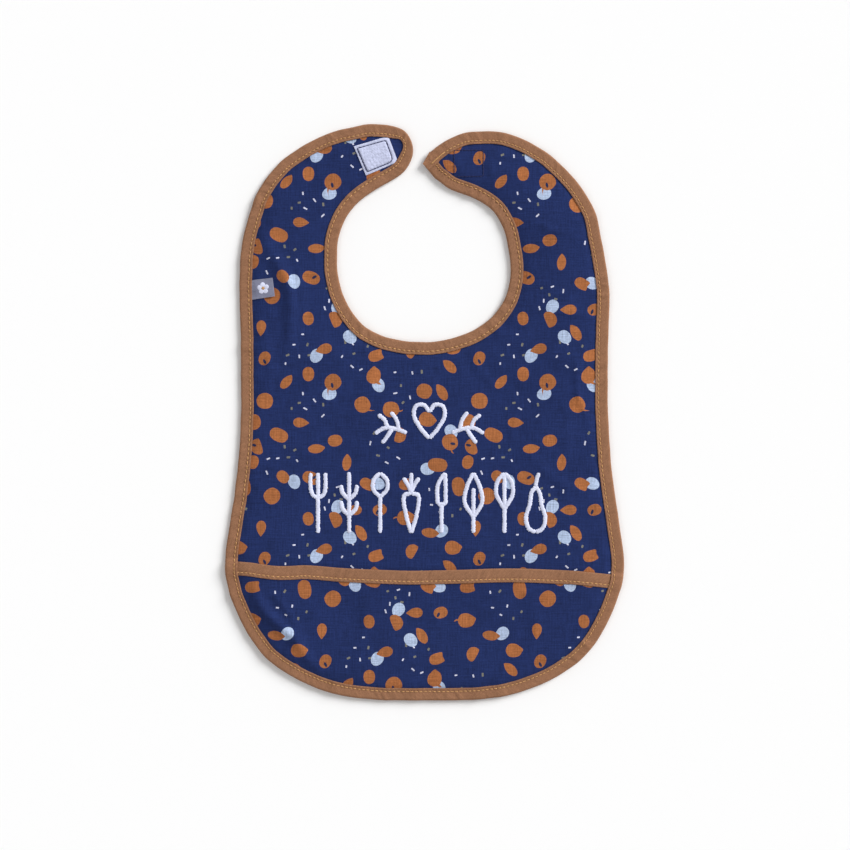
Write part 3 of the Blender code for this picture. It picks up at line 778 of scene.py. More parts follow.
def make_repeat():
    """The print's repeat: (outline, colour) pairs in the order that they are printed."""
    rng = np.random.default_rng(SEED + 7)
    kinds = ["round", "kernel", "almond", "cap", "pip", "round", "drop", "bowl", "pip", "block", "almond"]
    t = np.linspace(0, math.tau, 20, endpoint=False)
    dusts = spread(rng, 8, 34.0, [], 30)
    places = spread(rng, 41, 15.5, [(p, 12.0) for p in dusts], 16)
    ovals, nuts, marks, flecks, eggs = [], [], [], [], []
    for i, spot in enumerate(places):
        kind = kinds[i % len(kinds)]
        angle = rng.uniform(0, math.tau)
        size = rng.uniform(0.92, 1.03)
        tint = np.array(NUT) * rng.uniform(0.97, 1.04)
        nuts.append((turned(nut_outline(kind) * size, angle, spot), tint))
        if i % 7 == 5:
            hole = np.stack([1.7 * np.cos(t[::2]), 0.85 * np.sin(t[::2])], axis=1)
            away = spot + 2.0 * np.array([math.cos(angle + 0.6), math.sin(angle + 0.6)])
            marks.append((turned(hole, angle + 1.0, away), HUSK))
        if kind in ("cap", "round") and i % 2:
            stem = np.array(STEMS[("hook", "ear", "spike")[i % 3]]) * size
            nuts.append((turned(stem, angle, spot), tint))
        if i % 4 == 1:
            reach = 6.6 if i % 8 == 1 else 7.6
            turns = [angle + 0.5 + math.tau * k / 6 for k in range(6)]
            tries = [spot + reach * np.array([math.cos(a), math.sin(a)]) for a in turns]
            nearby = [p for p in places if p is not spot] + eggs
            middle = next((p for p in tries if all(repeat_gap(q, p) > 10.5 for q in nearby)), tries[0])
            eggs.append(middle)
            egg = np.stack([4.6 * np.cos(t), 3.8 * np.sin(t) * (1 + 0.08 * np.cos(t))], axis=1)
            ovals.append((turned(egg, rng.uniform(0, math.pi), middle), PALE))
    busy = [(p, 7.5) for p in places]
    for i, centre in enumerate(dusts):
        grains = []
        for k in range(7):
            best, best_gap = None, -1.0
            for _ in range(14):
                spot = centre + rng.uniform(-10, 10, 2)
                gaps = [repeat_gap(p, spot) / 4.4 for p in grains] + [repeat_gap(p, spot) / n for p, n in busy]
                if min(gaps) > best_gap:
                    best, best_gap = spot, min(gaps)
            grains.append(best)
            dull = k % 7 in (1, 4, 6)
            long = rng.uniform(0.85, 1.25) if dull else rng.uniform(0.85, 1.45)
            shape = np.array([(1, 0.25), (0.85, 0.6), (-0.8, 0.65), (-1, 0.2), (-0.9, -0.55), (0.8, -0.6)])
            shape = shape * (long, 1.05 if dull else 0.8)
            flecks.append((turned(shape, rng.uniform(0, math.pi), best), OLIVE if dull else FLECK))
    return flecks + ovals + nuts + marks


def motifs_over(polygon, pattern, shift):
    """The print's outlines and colours over a piece of cloth."""
    low, high = polygon.min(axis=0) - 9, polygon.max(axis=0) + 9
    found = []
    for shape, colour in pattern:
        first = np.floor((low - shape.mean(axis=0) - shift) / REPEAT).astype(int)
        last = np.ceil((high - shape.mean(axis=0) - shift) / REPEAT).astype(int)
        for i in range(first[0], last[0] + 1):
            for j in range(first[1], last[1] + 1):
                moved = shape + np.array(shift) + np.array([i, j]) * REPEAT
                middle = moved.mean(axis=0)
                if (middle > low).all() and (middle < high).all():
                    found.append((moved, colour))
    return found


# ---------------------------------------------------------------- cloth

def triangulated(polygon, motifs, trims=(), cell=CLOTH_CELL):
    """Flat triangles over a polygon, with an edge along each printed outline. Returns the points, the
    triangles, which way each is inked, as the number of its last outline, and the boundary edges."""
    low, high = polygon.min(axis=0), polygon.max(axis=0)
    rows = np.arange(low[1], high[1], cell * 0.866)
    lattice = []
    for k, y in enumerate(rows):
        x = np.arange(low[0] + (k % 2) * cell / 2, high[0], cell)
        lattice.append(np.stack([x, np.full_like(x, y)], axis=1))
    lattice = np.vstack(lattice)
    lattice = lattice[inside(lattice, polygon)]
    gap, _ = distance_to(lattice[:, 0], lattice[:, 1], polygon)
    lattice = lattice[gap > 0.6 * cell]
    outlines = [polygon, *trims, *[shape for shape, _ in motifs]]
    starts = np.cumsum([0] + [len(shape) for shape in outlines])
    loops = [list(range(starts[k], starts[k + 1])) for k in range(len(outlines))]
    points = np.vstack([*outlines, lattice])
    result = delaunay_2d_cdt([Vector(p) for p in points], [], loops, 0, 1e-6)
    flat = np.array([tuple(p) for p in result[0]])
    must = set(range(1 + len(trims)))
    faces, inks = [], []
    for face, origins in zip(result[2], result[5]):
        if must.issubset(origins):
            faces.append(face)
            inks.append(max(origins) - len(must))
    faces = np.array(faces)
    edges = np.vstack([faces[:, [0, 1]], faces[:, [1, 2]], faces[:, [2, 0]]])
    key = np.sort(edges, axis=1) @ np.array([len(flat), 1])
    _, where, counts = np.unique(key, return_index=True, return_counts=True)
    return flat, faces, np.array(inks), edges[where[counts == 1]]


def cloth(name, polygon, top, thickness, material, ground, motifs=(), under=None, trims=(), cell=CLOTH_CELL):
    """A closed sheet of cloth over a polygon. top gives its upper height at (x, y)."""
    flat, faces, inks, rim = triangulated(densified(polygon, cell), list(motifs), trims, cell)
    used = np.unique(faces)
    renumber = np.full(len(flat), -1)
    renumber[used] = np.arange(len(used))
    flat, faces, rim = flat[used], renumber[faces], renumber[rim]
    count = len(flat)
    height = top(flat[:, 0], flat[:, 1])
    upper = np.column_stack([flat, height])
    lower = np.column_stack([flat, height - thickness])
    side = np.stack([rim[:, 1], rim[:, 0], rim[:, 0] + count, rim[:, 1] + count], axis=1)
    all_faces = faces.tolist() + (faces[:, ::-1] + count).tolist() + side.tolist()
    palette = [linear(ground)] + [linear(colour) for _, colour in motifs]
    paint = np.array(palette)[np.where(inks < 0, 0, inks + 1)]
    ink = np.vstack([
        np.repeat(paint, 3, axis=0),
        np.tile(linear(under or ground), (3 * len(faces), 1)),
        np.tile(linear(ground), (4 * len(side), 1)),
    ])
    return make_mesh(name, np.vstack([upper, lower]), all_faces, material, np.vstack([flat, flat]), ink)


def body_part(loop):
    """The part of a loop between the two shoulder cuts."""
    for origin, up in FOLD_OF.values():
        loop = clipped(loop, origin - up * CUT_BEFORE, -up)
    return loop


def strap_part(loop, side):
    """The part of a loop above a strap's shoulder cut."""
    origin, up = FOLD_OF[side]
    loop = clipped(loop, np.array([STRAP_GAP_X, 0.0]), (-1, 0) if side == "left" else (1, 0))
    return clipped(loop, origin - up * CUT_BEFORE, up)


def area_of(loop):
    x, y = loop[:, 0], loop[:, 1]
    return abs(np.dot(x, np.roll(y, -1)) - np.dot(y, np.roll(x, -1))) / 2


def declare_sheet(loop):
    """Works out the area of a flat-cut sheet, and does nothing with it."""
    area_of(loop) * MM * MM


def front_height(x, y):
    return FRONT_TOP + relief(x, y)


def back_height(x, y):
    return BACK_TOP + relief(x, y)


def pocket_height(x, y):
    return POCKET_TOP + relief(x, y) + pocket_relief(x, y)


def make_cloths(materials):
    pattern = make_repeat()
    edge = inset(LOOP, CLOTH_INSET)
    parts = {"panel": body_part(edge), "left_strap": strap_part(edge, "left"),
             "right_strap": strap_part(edge, "right")}
    for part, loop in parts.items():
        strap = part.split("_")[0] if part != "panel" else None
        printed = motifs_over(loop, pattern, np.zeros(2))
        front = cloth(f"cotton_{part}", loop, front_height, FRONT_THICKNESS, materials["cotton"], NAVY,
                      printed, LINING)
        back = cloth(f"backing_{part}", loop, back_height, BACK_THICKNESS, materials["backing"], LINING)
        declare_sheet(loop)
        declare_sheet(loop)
        finish_piece(front, [f"front_{part}"], "bib", strap)
        finish_piece(back, [f"back_{part}"], "bib", strap)
    return pattern


# ---------------------------------------------------------------- edge tape

STATIONS = np.arange(0, ARC[-1], STATION)


def moved_edge(distance):
    """The edge moved inwards, less so where the tape is pleated, with its first point again at the end."""
    return closed(inset(LOOP, distance * TAPE_SHARE[:-1]) if distance else LOOP)


def at_stations(distance):
    """Points along the edge at every station, moved inwards."""
    return along(moved_edge(distance), ARC, STATIONS)


EDGE = at_stations(0.0)


def station_runs():
    """The stations of each stretch of tape, in order, with shared ends."""
    left = (EDGE[:, 0] < STRAP_GAP_X) & (past("left", EDGE) > -CUT_BEFORE)
    right = (EDGE[:, 0] > STRAP_GAP_X) & (past("right", EDGE) > -CUT_BEFORE)
    neck = ~left & ~right & (np.abs(EDGE[:, 0]) < 62) & (EDGE[:, 1] > 30)
    outer = ~left & ~right & ~neck
    runs = {}
    for name, flags in {"left": left, "right": right, "neck": neck, "outer": outer}.items():
        start = int(np.flatnonzero(flags & ~np.roll(flags, 1))[0])
        count = int(flags.sum())
        extra = 1 if name in ("left", "right") else 0
        runs[name] = (np.arange(start - extra, start + count + extra)) % len(STATIONS)
    return runs


def edge_fullness(arc, across, layer=0):
    """Small drag lines across the tape, strongest where it bends round the strap ends."""
    rng = np.random.default_rng(SEED + 30 + layer)
    lines = arc_waves(rng, 9, 3.2, 9.5)
    slow = arc_waves(rng, 5, 26, 70)
    bend = np.interp(arc, ARC, TURN)
    strength = 0.09 + 0.07 * slow(arc) + 1.6 * np.clip(bend - 0.012, 0, 0.08)
    shape = np.clip(across / 1.5, 0, 1) * np.clip((SEAM_INSET + 0.5 - across) / 2.0, 0, 1)
    return strength * shape * lines(arc + 0.55 * across)


def turning():
    """How sharply the edge turns at each point, in radians for each millimetre, spread over 10 mm."""
    step = np.diff(CLOSED, axis=0)
    heading = np.unwrap(np.arctan2(step[:, 1], step[:, 0]))
    middle = (ARC[1:] + ARC[:-1]) / 2
    ahead = np.interp(ARC + 5, middle, heading)
    behind = np.interp(ARC - 5, middle, heading)
    return np.abs(ahead - behind) / 10


TURN = turning()


def stitch_dimple(arc, across):
    """The tape is drawn down along the seam, most where the thread goes through, and puffs beside it."""
    wave = np.cos(math.tau * arc / STITCH_PITCH)
    groove = -0.3 * (0.65 + 0.35 * wave) * np.exp(-(((across - SEAM_INSET) / 0.6) ** 2))
    puff = 0.14 * np.exp(-(((across - SEAM_INSET - 1.25) / 0.6) ** 2))
    return groove + puff - 0.07 * wave * smoothstep(across, SEAM_INSET, TAPE_WIDTH)


TOP_ACROSS = [7.98, 7.85, 7.6, 7.15, 6.7, 6.3, 5.9, 5.5, 5.1, 4.6, 4.0, 3.2, 2.4, 1.7, 1.1, 0.65, 0.3, 0.08]
HIDDEN_ACROSS = [7.7, 4.5, 1.4]
TAPE_FACES = [(a, "top") for a in TOP_ACROSS] + [(a, "under") for a in TOP_ACROSS[::-1]]
TAPE_FACES += [(a, "low") for a in HIDDEN_ACROSS] + [(a, "high") for a in HIDDEN_ACROSS[::-1]]
# Each run of tape: its node, its stitching's node and its strap
TAPES = {
    "outer": ("edge_binding_outer", "stitch_outer", None),
    "neck": ("edge_binding_neck", "stitch_neck", None),
    "left": ("binding_left_strap", "stitch_left_strap", "left"),
    "right": ("binding_right_strap", "stitch_right_strap", "right"),
}


def tape_rolls(across):
    """How far the tape's section has rounded out from the edge and from its inner fold, each from 0 to 1."""
    return quarter_round(across, 1.3), quarter_round(TAPE_WIDTH - across, 0.32)


def tape_top(x, y, arc, across):
    """The upper face of the edge tape over its full width."""
    edge_roll, fold_roll = tape_rolls(across)
    full = FLAP_BOTTOM + FLAP_THICKNESS + side_lift(x, y)
    height = 1.2 + (full - 1.2) * edge_roll - 0.34 * (1 - fold_roll)
    return height + edge_fullness(arc, across) + stitch_dimple(arc, across) * fold_roll


def tape_under(x, y, arc, across):
    """The lower face of the edge tape, which lies on the table."""
    edge_roll, fold_roll = tape_rolls(across)
    height = 1.1 * (1 - edge_roll) + 0.3 * (1 - fold_roll)
    return height - 0.5 * edge_fullness(arc, across, 1) - 0.8 * stitch_dimple(arc, across) * fold_roll


def tape_rings(arc, spot_at, height_at):
    """The rings of a folded tape's closed section, and their flat places. spot_at gives its places at a
    distance from the edge, and height_at the heights there of one of the section's four faces."""
    rings, flats, travelled, before = [], [], 0.0, TAPE_FACES[0][0]
    for across, face in TAPE_FACES:
        travelled += abs(across - before)
        before = across
        spot = spot_at(across)
        rings.append(np.column_stack([spot, height_at(spot[:, 0], spot[:, 1], across, face)]))
        flats.append(np.column_stack([arc, np.full(len(arc), travelled)]))
    return np.stack(rings, axis=1), np.stack(flats, axis=1)


def make_tape(name, rings, flat, material):
    """A tape's object, with its flat places running along its length and round its section."""
    verts, faces = swept(rings)
    tape = make_mesh(name, verts, faces, material, flat.reshape(-1, 2), sharp=70)
    return tape


def make_edge_tapes(materials, runs):
    for name, (node, _, strap) in TAPES.items():
        run = runs[name]
        arc = STATIONS[run]

        def height_at(x, y, across, face):
            if face == "top":
                z = tape_top(x, y, arc, across)
            elif face == "under":
                z = tape_under(x, y, arc, across)
            elif face == "low":
                z = UNDER_FLAP_TOP
            else:
                z = FLAP_BOTTOM + side_lift(x, y)
            return z + relief(x, y)

        rings, flat = tape_rings(arc, lambda across: at_stations(across)[run], height_at)
        tape = make_tape(f"tape_{name}", rings, flat, materials["tape"])
        finish_piece(tape, [node], "bib", strap)


# ---------------------------------------------------------------- thread

def tubes(centres, radii, sides=7):
    """Separate thick threads: centres is stitches by rings by 3, radii one for each ring."""
    ahead = unit(np.gradient(centres, axis=1))
    across = unit(np.cross(ahead, (0, 0, 1)))
    upward = np.cross(across, ahead)
    angle = np.arange(sides) * math.tau / sides
    ring = (np.cos(angle)[:, None] * across[:, :, None] + np.sin(angle)[:, None] * upward[:, :, None])
    points = centres[:, :, None] + ring * np.asarray(radii)[None, :, None, None]
    count, rows = centres.shape[:2]
    verts = points.reshape(-1, 3)
    one = grid_faces(rows, sides, True)
    caps = [list(range(sides))[::-1], [(rows - 1) * sides + k for k in range(sides)]]
    faces = []
    for k in range(count):
        base = k * rows * sides
        faces += (one + base).tolist()
        faces += [[index + base for index in cap] for cap in caps]
    lengths = lengths_along(centres[0])
    flat = np.zeros((count, rows, sides, 2))
    flat[..., 0] = lengths[None, :, None] + np.arange(count)[:, None, None] * STITCH_PITCH
    flat[..., 1] = angle[None, None, :] * radii[0]
    return verts, faces, flat.reshape(-1, 2)


STITCH_RINGS = np.array([-1.0, -0.86, -0.55, 0.0, 0.55, 0.86, 1.0])
STITCH_ARCH = np.array([-0.34, -0.08, 0.12, 0.17, 0.12, -0.08, -0.34])
STITCH_WAIST = np.array([0.5, 0.85, 1.0, 1.05, 1.0, 0.85, 0.5])


def stitches(name, place, height, starts, material, radius=THREAD_RADIUS, length=STITCH_LENGTH, under=False):
    """Lockstitches. place(s) is a seam's point at a distance along it, height(x, y, s) the cloth there."""
    s = starts[:, None] + STITCH_RINGS[None] * length / 2
    spot = place(s)
    z = height(spot[..., 0], spot[..., 1], s)
    arch = STITCH_ARCH * (-1 if under else 1)
    rng = np.random.default_rng(SEED + len(starts))
    lean = rng.uniform(-0.09, 0.09, (len(starts), 1)) * STITCH_RINGS[None]
    ahead = unit(np.gradient(spot, axis=1))
    spot = spot + np.stack([-ahead[..., 1], ahead[..., 0]], axis=2) * lean[..., None]
    centres = np.dstack([spot, z + arch[None]])
    verts, faces, flat = tubes(centres, STITCH_WAIST * radius)
    return make_mesh(name, verts, faces, material, flat, sharp=80)


def place_on(path):
    """A function from distances along a closed path to the places there."""
    at = lengths_along(path)
    return lambda s: along(path, at, np.mod(s, at[-1]))


def tape_seam(face, lift):
    """A function for the height of the tape's face just inside its seam."""
    def height(x, y, s):
        return face(x, y, np.mod(s, ARC[-1]), np.full_like(x, SEAM_INSET + 0.9)) + relief(x, y) + lift
    return height


def make_edge_stitches(materials, runs):
    edge = moved_edge(SEAM_INSET)

    def place(s):
        return along(edge, ARC, np.mod(s, ARC[-1]))

    count = int(ARC[-1] // STITCH_PITCH)
    starts = (np.arange(count) + 0.5) * ARC[-1] / count
    nearest = np.round(starts / STATION).astype(int) % len(STATIONS)
    over, under = tape_seam(tape_top, -0.1), tape_seam(tape_under, 0.1)
    for name, (_, node, strap) in TAPES.items():
        chosen = starts[np.isin(nearest, runs[name])]
        top = stitches(f"lockstitch_{name}", place, over, chosen, materials["ochre"])
        below = stitches(f"bobbin_{name}", place, under, chosen, materials["ochre"], under=True)
        finish_piece(top, [node], "bib", strap)
        finish_piece(below, [], "bib", strap)


# ---------------------------------------------------------------- strap ends

def tip_height(x, y):
    return tape_top(x, y, np.zeros_like(x), np.full_like(x, 4.0)) + relief(x, y)


def make_tip_join(materials):
    """The tape's end folded in over the pointed tip, and the thick bar of stitching that holds it."""
    corners = np.array([(-1.1, 155.0), (2.4, 151.2), (8.4, 155.6), (9.6, 158.6), (3.2, 162.6)])
    rng = np.random.default_rng(SEED + 50)
    crease = waves(rng, 6, 2.0, 6)
    dart = [([(2.2, 161.5), (3.4, 159.0), (3.6, 156.4)], 0.8, 0.4)]
    outline = densified(corners, 0.4)
    cut = unit(corners[2] - corners[1])

    def top(x, y):
        behind = (x - corners[1, 0]) * -cut[1] + (y - corners[1, 1]) * cut[0]
        roll = quarter_round(distance_to(x, y, outline)[0], 0.5)
        thick = 0.42 * (1 - 0.75 * smoothstep(behind, 1.5, 5.5))
        rise = fold_height(x, y, dart)
        return tip_height(x, y) + 0.1 + thick * (0.4 + 0.6 * roll) + 0.06 * crease(x, y) + rise

    def height(x, y, s):
        return np.maximum(top(x, y), tip_height(x, y)) + 0.24

    tab = cloth("tape_join", corners, top, 0.5, materials["tape"], TAPE, cell=0.5)
    finish_piece(tab, ["binding_join_tab"], "right_strap")
    path = resampled(np.array([(3.9, 154.6), (8.4, 158.7), (12.9, 162.5)]), 0.4)
    starts = np.arange(1.4, lengths_along(path)[-1] - 1.35, 1.05)
    bar = stitches("bar_tack", place_on(path), height, starts, materials["ochre"], 0.36, 2.6)
    finish_piece(bar, [], "right_strap")


# ---------------------------------------------------------------- pocket

def mouth_point(x, depth):
    """Points a distance below the pocket's top edge."""
    y = np.interp(x, MOUTH_LINE[:, 0], MOUTH_LINE[:, 1])
    slope = np.interp(x, (MOUTH_LINE[1:, 0] + MOUTH_LINE[:-1, 0]) / 2,
                      np.diff(MOUTH_LINE[:, 1]) / np.diff(MOUTH_LINE[:, 0]))
    scale = 1 / np.sqrt(1 + slope**2)
    return np.stack([x + slope * scale * depth, y - scale * depth], axis=-1)


def open_at_mouth(obj):
    """The pocket's sides and foot stay sewn to the bib while the middle of its mouth opens."""
    start = (0, POCKET_HINGE_Y * MM, 0)
    end = (0, (POCKET_HINGE_Y + 76) * MM, 0)
    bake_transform(obj, "bib", "pocket", start, end)
    mesh = obj.data
    spots = np.array([v.co for v in mesh.vertices]) / MM
    rise = np.clip((spots[:, 1] - POCKET_HINGE_Y) / 74, 0, 1.02)
    half = np.interp(spots[:, 1], [-172, -160, -140, -120, -106, -90], [40, 78, 98, 108, 112, 113])
    share = np.clip(np.abs(spots[:, 0]) / half, 0, 1)
    weight = rise**0.8 * (1 - share**2) ** 1.4
    mesh.attributes["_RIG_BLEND"].data.foreach_set("value", weight.astype(np.float32))


def make_pocket(materials, pattern):
    inner = inset(LOOP, 3.4)
    mouth = mouth_point(np.linspace(-119, 119, 120), 1.0)
    below = inner[below_mouth(inner[:, 0], inner[:, 1]) > 1.0]
    below = below[np.argsort(np.arctan2(below[:, 1] + 96, below[:, 0]))]
    keep = np.abs(mouth[:, 0]) < np.abs(below[:, 0][[0, -1]]).min() - 0.5
    loop = np.vstack([below, mouth[keep][::-1]])
    printed = motifs_over(loop, pattern, np.array(POCKET_PRINT_SHIFT))
    panel = cloth("cotton_pocket", loop, pocket_height, POCKET_THICKNESS, materials["cotton"], NAVY,
                  printed, LINING)
    declare_sheet(loop)
    finish_pocket_piece(panel, "pocket_panel")


def finish_pocket_piece(obj, node):
    open_at_mouth(obj)
    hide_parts(node)


def make_pocket_tape(materials):
    """The folded tape over the pocket's mouth, and its stitching."""
    x = np.arange(-POCKET_TAPE_REACH, POCKET_TAPE_REACH + 0.1, STATION)
    arc = x + 400
    middle = (POCKET_UNDER_FLAP[0] + POCKET_OVER_FLAP[1]) / 2

    def spot_at(across):
        return mouth_point(x, across * POCKET_TAPE_WIDTH / TAPE_WIDTH)

    def height_at(px, py, across, face):
        edge_roll = quarter_round(across, 0.9)
        fold_roll = quarter_round(TAPE_WIDTH - across, 0.32)
        if face == "top":
            z = middle + (POCKET_OVER_FLAP[1] - middle) * edge_roll - 0.3 * (1 - fold_roll)
            z = z + edge_fullness(arc, across, 2) + stitch_dimple(arc, across) * fold_roll
        elif face == "under":
            z = middle + (POCKET_UNDER_FLAP[0] - middle) * edge_roll
        else:
            z = POCKET_UNDER_FLAP[1] if face == "low" else POCKET_OVER_FLAP[0]
        return z + relief(px, py) + pocket_relief(px, py)

    def seam_height(px, py, s):
        return POCKET_OVER_FLAP[1] - 0.06 + relief(px, py) + pocket_relief(px, py)

    rings, flat = tape_rings(arc, spot_at, height_at)
    tape = make_tape("tape_pocket", rings[::-1], flat[::-1], materials["tape"])
    finish_pocket_piece(tape, "pocket_binding")
    starts = np.arange(-116.5, 116.6, STITCH_PITCH)
    seam = stitches("lockstitch_pocket", lambda s: mouth_point(s, 6.7), seam_height, starts, materials["ochre"])
    finish_pocket_piece(seam, "stitch_pocket")


# ---------------------------------------------------------------- pads and label

def softened_corners(corners, radii, steps=5):
    """A polygon's path with each corner rounded by its own radius."""
    path = []
    for i, corner in enumerate(corners):
        before = corners[i - 1] - corner
        after = corners[(i + 1) % len(corners)] - corner
        start = corner + before / np.linalg.norm(before) * radii[i]
        end = corner + after / np.linalg.norm(after) * radii[i]
        for t in np.linspace(0, 1, steps):
            path.append((1 - t) ** 2 * start + 2 * t * (1 - t) * corner + t * t * end)
    return np.array(path)


def make_loop_pad(materials):
    """The brushed loop pad, with its sewn channel, and a woven selvedge outside the channel."""
    rng = np.random.default_rng(SEED + 60)
    nap = waves(rng, 14, 1.1, 3.0)
    soft = waves(rng, 6, 5, 14)
    corners = np.array(LOOP_PAD, float)
    seam = softened_corners(np.array(LOOP_PAD_SEAM, float), [1.0, 3.2, 1.2, 0.6])
    rim_path = densified(corners, 0.5)
    seam_path = densified(seam, 0.4)
    edge = resampled(CLOSED, 0.7)

    def top(x, y):
        rim_gap, _ = distance_to(x, y, rim_path)
        seam_gap, _ = distance_to(x, y, seam_path)
        spots = np.stack([np.ravel(x), np.ravel(y)], axis=1)
        within = inside(spots, seam).reshape(np.shape(x))
        piled = np.where(within, smoothstep(seam_gap, 0.1, 1.0), 0.0)
        rib = 0.05 * np.sin((x * 0.95 + y * 0.3) * 6.0) * (1 - piled)
        height = 0.5 + 0.34 * piled + 0.07 * nap(x, y) * piled + 0.05 * soft(x, y) + rib
        height = height - 0.4 * np.exp(-((seam_gap / 0.45) ** 2)) - 0.2 * (1 - smoothstep(rim_gap, 0, 0.5))
        under_tape = smoothstep(distance_to(x, y, edge)[0], TAPE_WIDTH - 0.2, TAPE_WIDTH + 1.4)
        return front_height(x, y) + 0.1 + height * (0.12 + 0.88 * under_tape)

    pad = cloth("pile_pad", corners, top, 0.1, materials["pile"], PILE_WHITE,
                trims=[inset(LOOP, 7.5)], cell=0.42)
    finish_piece(pad, ["loop_pad"], "left_strap")
    make_pad_stitch("loop_pad_stitch", seam, lambda x, y, s: top(x, y) + 0.3, materials["dark"],
                    "stitch_loop_pad", "left_strap")


def make_pad_stitch(name, path, height, material, node, body):
    """A ring of stitching round a pad."""
    ring = closed(path)
    total = lengths_along(ring)[-1]
    count = int(total // 2.2)
    starts = (np.arange(count) + 0.5) * total / count
    thread = stitches(name, place_on(ring), height, starts, material, 0.22, 2.3)
    finish_piece(thread, [node], body)


def make_hook_pad(materials):
    """The hook tape under the right strap: a woven ground with rows of nylon hooks."""
    ground = cloth("hook_ground", rectangle(HOOK_PAD_CENTRE, HOOK_PAD_SIZE), lambda x, y: 0.75 + relief(x, y),
                   0.35, materials["hooks"], HOOK_WHITE, trims=[inset(LOOP, 7.6)], cell=1.4)
    finish_piece(ground, ["hook_pad"], "right_strap")
    verts, faces, flat = nylon_hooks()
    hooks = make_mesh("nylon_hooks", verts, faces, materials["hooks"], flat, sharp=80)
    finish_piece(hooks, [], "right_strap")
    path = rounded_rectangle(HOOK_PAD_CENTRE, (HOOK_PAD_SIZE[0] - 2.8, HOOK_PAD_SIZE[1] - 1.6), 1.2)
    make_pad_stitch("hook_pad_stitch", path, lambda x, y, s: front_height(x, y) + 0.06, materials["dark"],
                    "stitch_hook_pad", "right_strap")


def nylon_hooks():
    """Rows of small hooks under the pad, each curled to the left or right, as points, faces and flat places."""
    spots = [(HOOK_PAD_CENTRE[0] + (i - 8) * 1.02, HOOK_PAD_CENTRE[1] + (j - 6.5) * 1.05)
             for i in range(17) for j in range(14)]
    spots = np.array(spots)
    spots = spots[inside(spots, inset(LOOP, TAPE_WIDTH + 0.7))]
    curl = np.array([(0, 0, 0), (0, 0, -0.22), (0.05, 0, -0.4), (0.2, 0, -0.47), (0.34, 0, -0.36)])
    base = np.column_stack([spots, 0.42 + relief(spots[:, 0], spots[:, 1])])
    flip = np.where(np.arange(len(spots)) % 2, 1.0, -1.0)
    centres = base[:, None] + curl[None] * np.stack([flip, flip, np.ones_like(flip)], axis=1)[:, None]
    ahead = unit(np.gradient(centres, axis=1))
    across = np.broadcast_to((0.0, 1.0, 0.0), ahead.shape)
    third = np.cross(across, ahead)
    angle = np.arange(5) * math.tau / 5
    ring = np.cos(angle)[:, None] * across[:, :, None] + np.sin(angle)[:, None] * third[:, :, None]
    points = centres[:, :, None] + ring * np.array([0.1, 0.09, 0.08, 0.07, 0.05])[None, :, None, None]
    parts = []
    for block in points:
        verts, faces = swept(block)
        parts.append((verts, [face[::-1] for face in faces], verts[:, :2]))
    return joined(parts)


def label_curl(u):
    """How far the label stands up along its length."""
    return 0.35 * smoothstep(u, 1.0, 4.0) + 0.8 * smoothstep(u, 4, LABEL_SIZE[0] + 1) ** 1.5


def make_label(materials):
    """A woven ribbon folded in two, sewn in under the side tape, with a plain flower on it."""
    c, s = math.cos(LABEL_TURN), math.sin(LABEL_TURN)
    length = LABEL_SIZE[0]
    angle = np.pi * np.arange(1, 6) / 6 - np.pi / 2
    u = np.concatenate([np.linspace(0, length, 30), length + 0.2 * np.cos(angle), np.linspace(length, 0, 30)])
    lift = np.concatenate([np.zeros(30), 0.17 + 0.17 * np.sin(angle), np.full(30, 0.34)])
    v = np.linspace(-LABEL_SIZE[1] / 2, LABEL_SIZE[1] / 2, 27)
    curl = label_curl(u)

    def spot(uu, vv, zz):
        taper = 1 - 0.05 * uu / length
        x = LABEL_ROOT[0] + c * uu - s * vv * taper
        y = LABEL_ROOT[1] + s * uu + c * vv * taper
        wave = 0.12 * np.sin(vv * 0.5 + uu * 0.25)
        return np.stack([x, y, front_height(x, y) + 0.07 + zz + wave * np.clip(uu / 5, 0, 1)], axis=-1)

    rings = []
    for side in (0.06, -0.06):
        rows = [spot(u, np.full_like(u, vv), lift + curl + side) for vv in v]
        rings.append(np.stack(rows, axis=0))
    verts, faces, flat = ribbon(*rings)
    label = make_mesh("woven_label", verts, faces, materials["label"], flat, sharp=60)
    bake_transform(label, "left_strap", "label", (-0.1083, 0.0762, 0), (-0.106, 0.0765, 0))
    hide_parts("side_label")
    flower = []
    middle = (length * 0.56, 0.1)
    for k in range(5):
        angle = math.tau * k / 5 + 0.3
        flower.append(disc(middle[0] + 2.35 * math.cos(angle), middle[1] + 2.35 * math.sin(angle), 1.5, spot))
    verts, faces, flat = joined(flower)
    petals = make_mesh("label_flower", verts, faces, materials["satin"], flat, sharp=70)
    finish_piece(petals, [], "label")
    verts, faces, flat = disc(middle[0], middle[1], 0.95, spot, 0.12)
    dot = make_mesh("label_flower_dot", verts, faces, materials["ochre"], flat, sharp=70)
    finish_piece(dot, [], "label")


def ribbon(upper, lower):
    """Points, faces and flat places of a thin strip between two grids of points, as a closed mesh."""
    rows, columns = upper.shape[:2]
    count = rows * columns
    top = grid_faces(rows, columns, False)
    verts = np.vstack([upper.reshape(-1, 3), lower.reshape(-1, 3)])
    faces = top.tolist() + (top[:, ::-1] + count).tolist()
    edge = list(range(columns)) + [r * columns + columns - 1 for r in range(1, rows)]
    edge += list(range(count - 2, count - columns - 1, -1)) + [r * columns for r in range(rows - 2, 0, -1)]
    for a, b in zip(edge, edge[1:] + edge[:1]):
        faces.append([b, a, a + count, b + count])
    r, c = np.meshgrid(np.arange(rows), np.arange(columns), indexing="ij")
    flat = np.stack([c.ravel() * 0.48, r.ravel() * 0.46], axis=1)
    return verts, faces, np.vstack([flat, flat])


